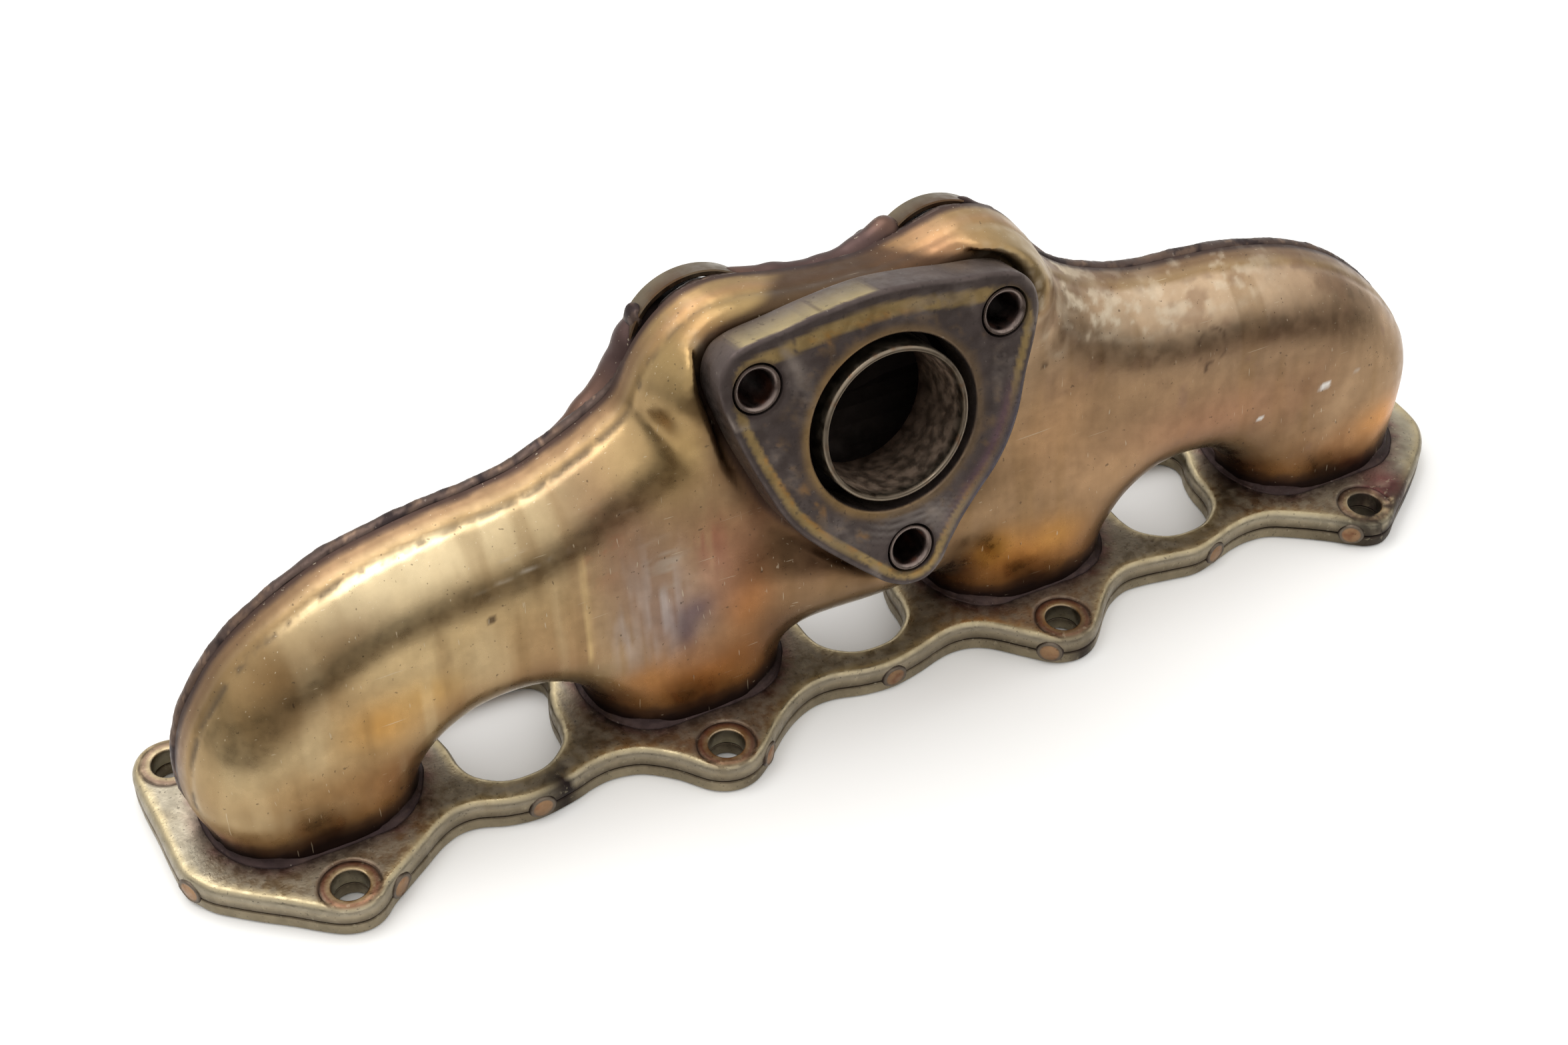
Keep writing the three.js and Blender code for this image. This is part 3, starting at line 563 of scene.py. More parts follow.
def plate_mesh(outer, holes, outer_rows, hole_rows, grid=2.0, rings=()):
    """Plate with rounded edges. Returns vertices (x, y, z) and faces; the caps are triangulated."""
    verts, faces = [], []
    caps = ([], [])
    loops = [(ccw(outer), -1, outer_rows)]
    loops += [(ccw(h), 1, rows) for h, rows in zip(holes, hole_rows)]
    for loop, sign, rows in loops:
        n = loop_normals(loop)
        first = len(verts)
        for inset, z in rows:
            p = loop + sign * inset * n
            verts.extend([(a, b, z) for a, b in p])
        m = len(loop)
        for r in range(len(rows) - 1):
            for i in range(m):
                j = (i + 1) % m
                a, b = first + r * m, first + (r + 1) * m
                quad = (a + i, b + i, b + j, a + j)
                faces.append(quad if sign < 0 else quad[::-1])
        caps[0].append(np.arange(first, first + m))
        last = first + (len(rows) - 1) * m
        caps[1].append(np.arange(last, last + m))
    for which, cap in enumerate(caps):
        flat = np.array(verts)
        outline = [flat[c][:, :2] for c in cap]
        z = flat[cap[0][0], 2]
        lo, hi = outline[0].min(0), outline[0].max(0)
        step = grid if which == 0 else grid * 2
        gx, gy = np.meshgrid(np.arange(lo[0], hi[0], step), np.arange(lo[1], hi[1], step), indexing="ij")
        pts = np.stack([gx.ravel(), gy.ravel()], 1)
        for cx, cy, radii in (rings if which == 0 else ()):
            pts = pts[np.hypot(pts[:, 0] - cx, pts[:, 1] - cy) > max(radii) + 0.4]
            pts = np.concatenate([pts] + [circle(cx, cy, r, 72) for r in radii])
        clear = polygon_distance(pts[:, 0], pts[:, 1], outline[0]) > 0.5
        for h in outline[1:]:
            clear &= polygon_distance(pts[:, 0], pts[:, 1], h) < -0.5
        pts = pts[clear]
        src = np.concatenate(outline + [pts])
        edges, at = [], 0
        for c in outline:
            m = len(c)
            edges += [(at + i, at + (i + 1) % m) for i in range(m)]
            at += m
        co, _, tris, orig, _, _ = delaunay_2d_cdt([Vector(p) for p in src], edges, [], 1, 1e-6)
        base = np.concatenate(cap)
        ids = []
        for k, c in enumerate(co):
            o = orig[k][0] if orig[k] else None
            if o is not None and o < len(base):
                ids.append(int(base[o]))
            else:
                ids.append(len(verts))
                verts.append((c.x, c.y, z))
        mid = np.array([[sum(co[i][0] for i in t) / 3, sum(co[i][1] for i in t) / 3] for t in tris])
        keep = polygon_distance(mid[:, 0], mid[:, 1], outline[0]) > 0
        for h in outline[1:]:
            keep &= polygon_distance(mid[:, 0], mid[:, 1], h) < 0
        for t, ok in zip(tris, keep):
            if ok:
                f = tuple(ids[i] for i in t)
                faces.append(f if which == 0 else f[::-1])
    return np.array(verts), faces


def slot_loop(cx, cy, w, d, rx, ry, n):
    """Rectangle w by d with elliptic corners."""
    a = (np.arange(n) + 0.5) / n * 2 * np.pi
    c, s = np.cos(a), np.sin(a)
    return np.stack([cx + np.sign(c) * (w / 2 - rx) + rx * c, cy + np.sign(s) * (d / 2 - ry) + ry * s], 1)


def even_loop(p, step=1.0):
    """The same closed line with evenly spaced vertices."""
    q = np.concatenate([p, p[:1]])
    d = np.concatenate([[0], np.cumsum(np.linalg.norm(np.diff(q, axis=0), axis=1))])
    n = max(12, int(d[-1] / step))
    t = np.arange(n) / n * d[-1]
    return np.stack([np.interp(t, d, q[:, 0]), np.interp(t, d, q[:, 1])], 1)


def leg_foot(x, grow):
    """Outline of a shell leg at the flange, grow mm outside the metal."""
    w = 52.0 if x < 290 else 53.5
    cx = x if x < 290 else x + 0.75
    return even_loop(slot_loop(cx, PORT_Y, w + 2 * grow, 39.8 + 2 * grow, 15.4 + grow, 19.9 + grow, 160), 1.2)


def window_loop(x):
    """Waisted window between two ports."""
    right = [(x + h, y) for h, y in WINDOW_SIDE]
    left = [(x - h, y) for h, y in reversed(WINDOW_SIDE)]
    return smooth_loop(right + left, 1.2)


plate_outline = even_loop(smooth_loop(NEAR_EDGE + FAR_EDGE, 0.6), 1.0)
plate_outline[:, 0] = np.clip(plate_outline[:, 0], -36.55, 337.15)
BOLTS = NEAR_BOLTS + FAR_BOLTS
WASHER_R = 7.45          # mark that a washer has pressed round each bolt hole
RING_RADII = (5.2, 5.8, 6.4, 6.9, 7.2, WASHER_R, 7.7, 8.0, 8.6)


def press_washer_marks(verts, z1):
    for x, y in BOLTS:
        r = np.hypot(verts[:, 0] - x, verts[:, 1] - y)
        groove = ridge(r - WASHER_R, 0.3) * 0.34
        seat = ramp(7.5, 7.1, r) * 0.12
        verts[:, 2] -= np.where(verts[:, 2] > z1 - 0.8, groove + seat, 0)


def build_plate(name, node, z0, z1, top, bottom, port_grow, bolt_rows, marked):
    """Head flange plate with ports, windows and bolt holes; top and bottom are (inset, drop) of the edges."""
    holes = [leg_foot(x, port_grow) for x in PORT_X]
    rows = [edge_profile(z0, z1, (0.4, 0.4), (0.4, 0.4), 2)] * 4
    holes += [window_loop(x) for x in WINDOW_X]
    rows += [edge_profile(z0, z1, top, bottom)] * 3
    holes += [circle(x, y, BOLT_R, 48) for x, y in BOLTS]
    rows += [bolt_rows] * 9
    rings = [(x, y, RING_RADII) for x, y in BOLTS] if marked else ()
    verts, faces = plate_mesh(plate_outline, holes, edge_profile(z0, z1, top, bottom), rows, 2.2, rings)
    if marked:
        press_washer_marks(verts, z1)
    obj = mesh_object(name, verts, faces)
    sharpen(obj, 40)
    return piece(obj, "flange_steel", node)


upper = build_plate("upper_plate_formed", "upper_plate", -UPPER_T, 0, (1.9, 2.5), (0.5, 0.5), 0.3,
                    edge_profile(-UPPER_T, 0, (0.5, 0.5), (0.3, 0.3), 3), True)
lower = build_plate("lower_plate_formed", "lower_plate", -FLANGE_T, LOWER_TOP, (0.5, 0.5), (0.7, 0.7), -1.8,
                    edge_profile(-FLANGE_T, LOWER_TOP, (0.3, 0.3), (0.4, 0.4), 3), False)


# ---- outlet flange, liner and sleeves ---------------------------------------------------
def on_outlet(u, v, s):
    """Point from the outlet face: u right, v up, s behind the face."""
    u, v, s = np.broadcast_arrays(np.asarray(u, float), v, s)
    return OUT_C + u[..., None] * OUT_U + v[..., None] * OUT_V - s[..., None] * OUT_N


def build_outlet_flange():
    """Three-cornered plate with the bore and a hole for each sleeve."""
    outer = even_loop(smooth_loop(OUT_SHAPE, 0.6), 1.0)
    holes = [circle(0, 0, OUT_BORE, 120)] + [circle(u, v, SLEEVE_R + 0.35, 48) for u, v in OUT_BOLTS]
    rows = [edge_profile(-OUT_T, 0, (0.9, 0.9), (0.6, 0.6), 4)]
    rows += [edge_profile(-OUT_T, 0, (0.35, 0.35), (0.3, 0.3), 2)] * 3
    verts, faces = plate_mesh(outer, holes, edge_profile(-OUT_T, 0, (1.3, 1.3), (1.6, 1.6), 5), rows, 0.9)
    obj = mesh_object("outlet_flange_plate", on_outlet(verts[:, 0], verts[:, 1], -verts[:, 2]), faces)
    sharpen(obj, 40)
    return piece(obj, "outlet_steel", "outlet_flange")


def face_out(obj):
    """Turns every face outwards."""
    bm = bmesh.new()
    bm.from_mesh(obj.data)
    bmesh.ops.recalc_face_normals(bm, faces=bm.faces)
    bm.to_mesh(obj.data)
    bm.free()


def turned_tube(name, slot, node, profile, u, v, n):
    """Tube along the outlet normal through (u, v); profile is a closed loop of (radius, s)."""
    a = turn_steps(n)
    rings = [on_outlet(u + r * np.cos(a), v + r * np.sin(a), float(s)) for r, s in profile]
    tube = mesh_object(name, *skin(rings, closed_v=True))
    face_out(tube)
    sharpen(tube, 35)
    return piece(tube, slot, node)


def build_liner():
    """Liner of the bore with a rolled rim that stands 1 mm proud of the flange."""
    end = 20.9
    outside = [(LINER_R, s) for s in (end, 14, 8, 2, -0.2)]
    rim = [(20.05, -0.7), (19.7, -1.0), (19.3, -1.1), (18.95, -1.0), (18.7, -0.6)]
    inside = [(LINER_BORE, s) for s in (0, 3, 8, 14, end)]
    return turned_tube("outlet_liner_tube", "inner_pipe_steel", "outlet_liner",
                       outside + rim + inside, 0, 0, 128)


def build_sleeve(index):
    """Bolt sleeve with a countersunk mouth."""
    end = SLEEVE_LEN[index]
    outside = [(SLEEVE_R - 0.05, s) for s in (end, 12, 1, 0.5)]
    mouth = [(5.95, 0.2), (5.6, 0.15), (5.2, 0.35), (4.8, 0.8), (4.5, 1.5)]
    inside = [(SLEEVE_BORE, s) for s in (2.5, 8, end)]
    return turned_tube(f"outlet_sleeve_tube_{index + 1}", "sleeve_steel", f"outlet_sleeve_{index + 1}",
                       outside + mouth + inside, *OUT_BOLTS[index], 56)


outlet_flange = build_outlet_flange()
liner = build_liner()
sleeves = [build_sleeve(i) for i in range(3)]


# ---- fixed noise ---------------------------------------------------------------------
def lattice(i, j, k, seed):
    """Fixed random number, 0 to 1, for each corner of the noise grid."""
    h = (i * 374761393 + j * 668265263 + k * 1442695041 + seed * 974634777) & 0xFFFFFFFF
    h = ((h ^ (h >> 13)) * 1274126177) & 0xFFFFFFFF
    return ((h ^ (h >> 16)) & 0xFFFF) / 65535.0


def value_noise(points, size, seed=0, octaves=2):
    """Soft random pattern, 0 to 1, with features about size mm across (one number, or one for each axis)."""
    p = np.asarray(points, float) / np.asarray(size, float)
    total, weight = 0, 0
    for octave in range(octaves):
        q = p * 2**octave + 17.3 * octave
        base = np.floor(q).astype(np.int64)
        f = q - base
        f = f * f * (3 - 2 * f)
        value = 0
        for corner, share in cell_corners(f):
            value = value + share * lattice(*np.moveaxis(base + corner, -1, 0), seed + octave)
        total = total + value / 2**octave
        weight += 1 / 2**octave
    return total / weight


# ---- hoops, welds and buttons ---------------------------------------------------------
def build_hoop(name, index, start, stop):
    """Strap bent round the back of an upper sleeve, its ends sunk in the rear shell."""
    u0, v0 = OUT_BOLTS[index]
    wall, length, bevel = HOOP_WALL, HOOP_LEN, 0.35
    edge = [(0, bevel), (bevel, 0), (wall - bevel, 0), (wall, bevel), (wall, length - bevel),
            (wall - bevel, length), (bevel, length), (0, length - bevel)]
    rings = []
    for a in np.radians(np.linspace(start, stop, 70)):
        sag = 0.25 * math.sin(3 * a + index)
        r = np.array([HOOP_R - e[0] + sag for e in edge])
        s = np.array([HOOP_FROM + e[1] for e in edge])
        rings.append(on_outlet(u0 + r * math.cos(a), v0 + r * math.sin(a), s))
    hoop = mesh_object(name + "_strap", *skin(rings, caps=True))
    face_out(hoop)
    sharpen(hoop, 35)
    return piece(hoop, "hoop_steel", "rear_" + name)


hoops = [build_hoop("hoop_left", 0, 15, 205), build_hoop("hoop_right", 1, -10, 170)]


def lump(name, centre, size, seed):
    """Weld lump: a ball pushed about by noise, size in mm along x, y and z."""
    bm = bmesh.new()
    bmesh.ops.create_icosphere(bm, subdivisions=4, radius=1)
    v = np.array([q.co[:] for q in bm.verts])
    swell = 1 + 0.1 * (value_noise(v + seed, 0.55, seed, 3) - 0.5) * 2
    v = v * swell[:, None] * np.array(size) + np.array(centre)
    for q, c in zip(bm.verts, place(v)):
        q.co = c
    mesh = bpy.data.meshes.new(name)
    bm.to_mesh(mesh)
    bm.free()
    return piece(link(name, mesh), "weld_bead")


TACKS = [  # centre x, distance behind the joint plane, z, then the size
    ("hoop_left_tack_1", (101.6, 6.4, 98.4), (2.6, 3.6, 4.6)),
    ("hoop_left_tack_2", (133.0, 6.8, 100.2), (5.2, 3.8, 2.2)),
    ("hoop_right_tack_1", (166.0, 7.0, 100.4), (5.4, 4.0, 2.2)),
    ("hoop_right_tack_2", (199.6, 6.6, 96.4), (2.6, 3.8, 4.0)),
]
tacks = [lump(name, (x, joint_y(z) + w, z), size, 3 + i)
         for i, (name, (x, w, z), size) in enumerate(TACKS)]


SEAM_STEP = 0.8          # distance between the seam's rings
SEAM_BACK = 2.4          # distance of the seam's middle behind the joint plane
RIPPLE_PITCH = 1.9       # pitch of the weld ripples


def top_line(step):
    """Joint line from the left foot over the top to the right foot, as (x, z) points and outward normals."""
    line = smooth_loop(BODY_OUTLINE, step)
    start = np.argmin(np.hypot(line[:, 0] + 25.6, line[:, 1] - 1.5))
    stop = np.argmin(np.hypot(line[:, 0] - 326.5, line[:, 1] - 1.5))
    line = np.roll(line, -start, 0)[:(stop - start) % len(line)]
    t = np.gradient(line, axis=0)
    t /= np.linalg.norm(t, axis=1)[:, None]
    return line, np.stack([-t[:, 1], t[:, 0]], 1)


def build_seam():
    """Rough lap weld behind the edge of the front shell."""
    line, normal = top_line(SEAM_STEP)
    n = len(line)
    path = np.stack([line[:, 0], joint_y(line[:, 1]) + SEAM_BACK, line[:, 1]], 1)
    out = np.stack([normal[:, 0], np.zeros(n), normal[:, 1]], 1)
    back = np.tile([0.0, 1.0, 0.0], (n, 1))
    coarse = value_noise(path, 7, 5)
    ripple = np.sin(np.arange(n) * SEAM_STEP / RIPPLE_PITCH * 2 * np.pi + 5 * coarse)
    a = turn_steps(14)
    rings = []
    for k in range(n):
        at = path[k] + 3.0 * (np.cos(a)[:, None] * out[k] + np.sin(a)[:, None] * back[k])
        r = 1 + (value_noise(at, 3.4, 9, 3) - 0.5) * 0.4
        height = 1.15 + 0.3 * (coarse[k] - 0.5) + 0.05 * ripple[k]
        width = 1.9 + 0.6 * (coarse[k] - 0.5)
        rings.append(path[k] + (r * height * np.cos(a) - 1.3)[:, None] * out[k]
                     + (r * width * np.sin(a))[:, None] * back[k])
    obj = mesh_object("seam_weld_bead", *skin(rings, caps=True))
    face_out(obj)
    return piece(obj, "weld_bead", "seam_weld")


def build_port_weld(index):
    """Concave, slightly lumpy fillet between a leg and the upper plate."""
    # distance outside the leg and height
    profile = [(-0.9, 2.6), (-0.25, 2.5), (0.1, 2.0), (0.4, 1.3), (0.8, 0.7), (1.3, 0.3), (1.8, 0.05),
               (1.7, -0.4), (-0.9, -0.4)]
    p = leg_foot(PORT_X[index], 0)
    n = loop_normals(p)
    rings = []
    for out, z in profile:
        wave = value_noise(np.c_[p, np.full(len(p), z)], 3.0, 20 + index, 2) - 0.5
        o = out + np.where(out > 0.3, 0.6 * wave, 0)
        h = np.maximum(z, -0.4) * (1 + 0.35 * wave)
        q = p + o[:, None] * n
        rings.append(np.stack([q[:, 0], q[:, 1] + LEAN * np.maximum(h, 0), h], 1))
    obj = mesh_object(f"port_weld_{index + 1}_fillet", *skin(rings, closed_v=True))
    face_out(obj)
    return piece(obj, "weld_bead", f"port_weld_{index + 1}")


seam = build_seam()
port_welds = [build_port_weld(i) for i in range(4)]


def build_button(index):
    """Plug weld on the plates' edge: a low dome in a raised, uneven rim."""
    x, y = EDGE_WELDS[index]
    k = np.argmin(np.hypot(plate_outline[:, 0] - x, plate_outline[:, 1] - y))
    n = loop_normals(plate_outline)[k]
    side = np.array([-n[1], n[0], 0.0])
    out = np.array([n[0], n[1], 0.0])
    c = np.array([*plate_outline[k], -FLANGE_T / 2 - 0.2])
    a = turn_steps(40)
    # radius and height over the plates' edge
    profile = [(0.3, 0.62), (1.0, 0.6), (1.8, 0.52), (2.4, 0.36), (2.7, 0.34), (3.0, 0.5), (3.3, 0.42),
               (3.5, 0.1), (3.65, -0.5), (3.6, -1.6)]
    rings = []
    for r, lift in profile:
        p = np.stack([r * np.cos(a), r * np.sin(a), np.full(len(a), lift)], 1)
        uneven = value_noise(p + 31 * index, 2.4, 40 + index, 2) - 0.5
        rr = r * (1 + 0.12 * uneven)
        up = lift + (0.35 * uneven if lift > 0 else 0)
        along, high = rr * np.cos(a) * 1.02, rr * np.sin(a) * 0.94
        rings.append(c + along[:, None] * side + high[:, None] * [0, 0, 1]
                     + np.broadcast_to(up, len(a))[:, None] * out)
    obj = mesh_object(f"edge_weld_{index + 1}_button", *skin(rings, caps=True))
    face_out(obj)
    return piece(obj, "plug_weld", f"edge_weld_{index + 1}")


buttons = [build_button(i) for i in range(len(EDGE_WELDS))]


# ---- painting -----------------------------------------------------------------------------
def tone(r, g, b):
    """Linear colour from 0-255 display values."""
    c = np.array([r, g, b], float) / 255
    return np.where(c <= 0.04045, c / 12.92, ((c + 0.055) / 1.055) ** 2.4)


class Paint:
    """Colour and roughness for each vertex of a mesh, mixed in layers, in millimetres."""

    def __init__(self, obj, color, rough):
        self.obj = obj
        co = np.empty(len(obj.data.vertices) * 3, np.float32)
        obj.data.vertices.foreach_get("co", co)
        self.p = co.reshape(-1, 3).astype(float) / MM - SHIFT
        no = np.empty_like(co)
        obj.data.vertices.foreach_get("normal", no)
        self.n = no.reshape(-1, 3)
        self.rgb = np.tile(tone(*color), (len(self.p), 1))
        self.rough = np.full(len(self.p), float(rough))

    def mix(self, mask, color, rough=None, amount=1.0):
        """Lays a colour and roughness over the layers below; color in 0-255 display values."""
        m = np.clip(mask * amount, 0, 1)
        self.rgb += m[:, None] * (tone(*color) - self.rgb)
        if rough is not None:
            self.rough += m * (rough - self.rough)

    def spot(self, x0, z0, rx, rz, turn=0.0):
        """Soft oval in the x, z plane; turn in degrees."""
        x, z = self.p[:, 0] - x0, self.p[:, 2] - z0
        t = math.radians(turn)
        a = x * math.cos(t) + z * math.sin(t)
        b = -x * math.sin(t) + z * math.cos(t)
        return np.exp(-((a / rx) ** 2 + (b / rz) ** 2))

    def spots(self, rows, pattern=1.0):
        """Mixes in soft ovals: centre x and z, radii, turn, colour, roughness and amount of each."""
        for x, z, rx, rz, turn, color, rough, amount in rows:
            self.mix(self.spot(x, z, rx, rz, turn) * pattern, color, rough, amount)

    def noise(self, size, seed, octaves=3):
        """Soft random pattern from 0 to 1 on the vertices."""
        return value_noise(self.p, size, seed, octaves)

    def write(self):
        mesh = self.obj.data
        tint = mesh.attributes.new("tint", "FLOAT_COLOR", "POINT")
        tint.data.foreach_set("color", np.c_[self.rgb, np.ones(len(self.rgb))].astype(np.float32).ravel())
        rough = mesh.attributes.new("rough", "FLOAT", "POINT")
        rough.data.foreach_set("value", self.rough.astype(np.float32))


class Shader:
    """Short hand for a Principled material's node tree."""

    def __init__(self, name, metallic=1.0, specular=0.5):
        self.mat = bpy.data.materials.new(name)
        self.mat.use_nodes = True
        self.tree = self.mat.node_tree
        self.bsdf = self.tree.nodes["Principled BSDF"]
        self.bsdf.inputs["Metallic"].default_value = metallic
        self.bsdf.inputs["Specular IOR Level"].default_value = specular
        self.coord = self.node("ShaderNodeTexCoord").outputs["Object"]

    def node(self, kind):
        return self.tree.nodes.new(kind)

    def put(self, value, socket):
        if isinstance(value, bpy.types.NodeSocket):
            self.tree.links.new(value, socket)
        else:
            socket.default_value = value

    def attribute(self, name, output):
        node = self.node("ShaderNodeAttribute")
        node.attribute_name = name
        return node.outputs[output]

    def noise(self, size, detail=3, stretch=(1, 1, 1), turn=(0, 0, 0)):
        """Noise with features size mm across, longer by stretch along each axis."""
        mapping = self.node("ShaderNodeMapping")
        mapping.inputs["Scale"].default_value = [1 / (MM * size * k) for k in stretch]
        mapping.inputs["Rotation"].default_value = [math.radians(t) for t in turn]
        self.tree.links.new(self.coord, mapping.inputs["Vector"])
        node = self.node("ShaderNodeTexNoise")
        node.inputs["Scale"].default_value = 1
        node.inputs["Detail"].default_value = detail
        self.tree.links.new(mapping.outputs["Vector"], node.inputs["Vector"])
        return node.outputs["Fac"]

    def math(self, operation, a, b=0.0):
        node = self.node("ShaderNodeMath")
        node.operation = operation
        self.put(a, node.inputs[0])
        self.put(b, node.inputs[1])
        return node.outputs[0]

    def span(self, value, a, b, low=0.0, high=1.0):
        """Maps value from a..b to low..high, clamped."""
        node = self.node("ShaderNodeMapRange")
        node.interpolation_type = "SMOOTHSTEP"
        sockets = ("Value", "From Min", "From Max", "To Min", "To Max")
        for socket, v in zip(sockets, (value, a, b, low, high)):
            self.put(v, node.inputs[socket])
        return node.outputs[0]

    def mix(self, factor, a, b, blend="MIX"):
        node = self.node("ShaderNodeMix")
        node.data_type = "RGBA"
        node.blend_type = blend
        self.put(factor, node.inputs[0])
        self.put(a, node.inputs[6])
        self.put(b, node.inputs[7])
        return node.outputs[2]

    def stain(self, color, mask, strength, tint):
        """Lays a tint over the colour where the mask is 1."""
        return self.mix(self.math("MULTIPLY", mask, strength), color, tint)

    def uneven_rough(self, size, detail, low, high):
        """The painted roughness, varied by soft clouds about size mm across."""
        painted = self.attribute("rough", "Fac")
        return self.math("ADD", painted, self.span(self.noise(size, detail), 0.3, 0.7, low, high))

    def bump(self, height, depth_mm, normal=None):
        node = self.node("ShaderNodeBump")
        node.inputs["Distance"].default_value = depth_mm * MM
        self.put(height, node.inputs["Height"])
        if normal is not None:
            self.put(normal, node.inputs["Normal"])
        return node.outputs["Normal"]

    def finish(self, color, rough, normal=None):
        self.put(color, self.bsdf.inputs["Base Color"])
        self.put(rough, self.bsdf.inputs["Roughness"])
        if normal is not None:
            self.put(normal, self.bsdf.inputs["Normal"])
        return self.mat


def gray(v):
    return (v, v, v, 1)


def shell_material():
    """Drawn sheet: heat tints, faint forming streaks, fine scratches, small dark specks."""
    m = Shader("heat_tinted_sheet", 1.0)
    cloud = m.noise(9, 4)
    streak = m.noise(1.6, 3, (1, 1, 22))
    color = m.mix(m.span(cloud, 0.3, 0.7, 0.0, 0.4), m.attribute("tint", "Color"), gray(0.72), "MULTIPLY")
    color = m.mix(m.span(streak, 0.35, 0.7, 0.0, 0.14), color, gray(0.75), "MULTIPLY")
    specks = m.span(m.noise(1.3, 2), 0.70, 0.74)
    color = m.stain(color, specks, 0.55, (0.05, 0.035, 0.025, 1))
    scratch = m.span(m.noise(0.7, 1, (1, 1, 40), (14, 28, 0)), 0.74, 0.78)
    scratch = m.math("MAXIMUM", scratch, m.span(m.noise(0.6, 1, (45, 1, 1), (0, -24, 10)), 0.75, 0.79))
    color = m.stain(color, scratch, 0.35, (0.75, 0.66, 0.5, 1))
    rough = m.uneven_rough(4, 4, -0.05, 0.07)
    rough = m.math("ADD", rough, m.math("MULTIPLY", scratch, 0.15))
    fine = m.bump(m.noise(0.9, 4), 0.012)
    wave = m.bump(m.noise(14, 2, (0.6, 1, 2.2)), 0.25, fine)
    return m.finish(color, rough, wave)


def plate_material():
    """Stamped plate: satin with a fine grain, small pits and stains."""
    m = Shader("satin_plate", 1.0)
    clouds = m.span(m.noise(6, 5), 0.3, 0.72, 0.0, 0.5)
    color = m.mix(clouds, m.attribute("tint", "Color"), gray(0.62), "MULTIPLY")
    pits = m.span(m.noise(0.8, 3), 0.62, 0.72)
    color = m.stain(color, pits, 0.6, (0.06, 0.05, 0.04, 1))
    fleck = m.span(m.noise(1.7, 4), 0.62, 0.7)
    color = m.stain(color, fleck, 0.3, (0.42, 0.37, 0.26, 1))
    rough = m.uneven_rough(2.5, 5, -0.1, 0.12)
    normal = m.bump(m.noise(0.7, 5), 0.05, m.bump(m.noise(5, 2), 0.12))
    return m.finish(color, rough, normal)


def oxide_material(name, metallic, grain, depth, dark=(0.045, 0.035, 0.032, 1), mottle=0.5):
    """Scaled, oxidised steel: mottled, matt and pitted."""
    m = Shader(name, metallic, 0.35)
    clouds = m.span(m.noise(grain * 5, 6), 0.34, 0.7, 0.0, mottle)
    color = m.mix(clouds, m.attribute("tint", "Color"), gray(0.6), "MULTIPLY")
    pits = m.span(m.noise(grain, 4), 0.6, 0.72)
    color = m.stain(color, pits, mottle, dark)
    light = m.span(m.noise(grain * 0.8, 3, (1, 1.4, 1)), 0.68, 0.76)
    color = m.stain(color, light, 0.3, (0.33, 0.28, 0.24, 1))
    rough = m.uneven_rough(grain * 2, 5, -0.1, 0.12)
    normal = m.bump(m.noise(grain * 0.6, 5), depth, m.bump(m.noise(grain * 3, 3), depth * 2))
    return m.finish(color, rough, normal)


def dress(obj, material):
    obj.data.materials.clear()
    obj.data.materials.append(material)
    obj.material_slots[0].material = material


def cad_material(name, color, rough, metallic, grain):
    """For the inner pieces that stay as the CAD made them."""
    m = Shader(name, metallic, 0.4)
    base = (*tone(*color), 1)
    shade = m.mix(m.span(m.noise(grain * 5, 5), 0.3, 0.7, 0.0, 0.65), base, gray(0.45), "MULTIPLY")
    shade = m.stain(shade, m.span(m.noise(grain, 4), 0.58, 0.7), 0.5, (0.03, 0.025, 0.02, 1))
    level = m.span(m.noise(grain * 2, 5), 0.3, 0.7, rough - 0.1, rough + 0.15)
    return m.finish(shade, level, m.bump(m.noise(grain * 0.6, 5), 0.04))


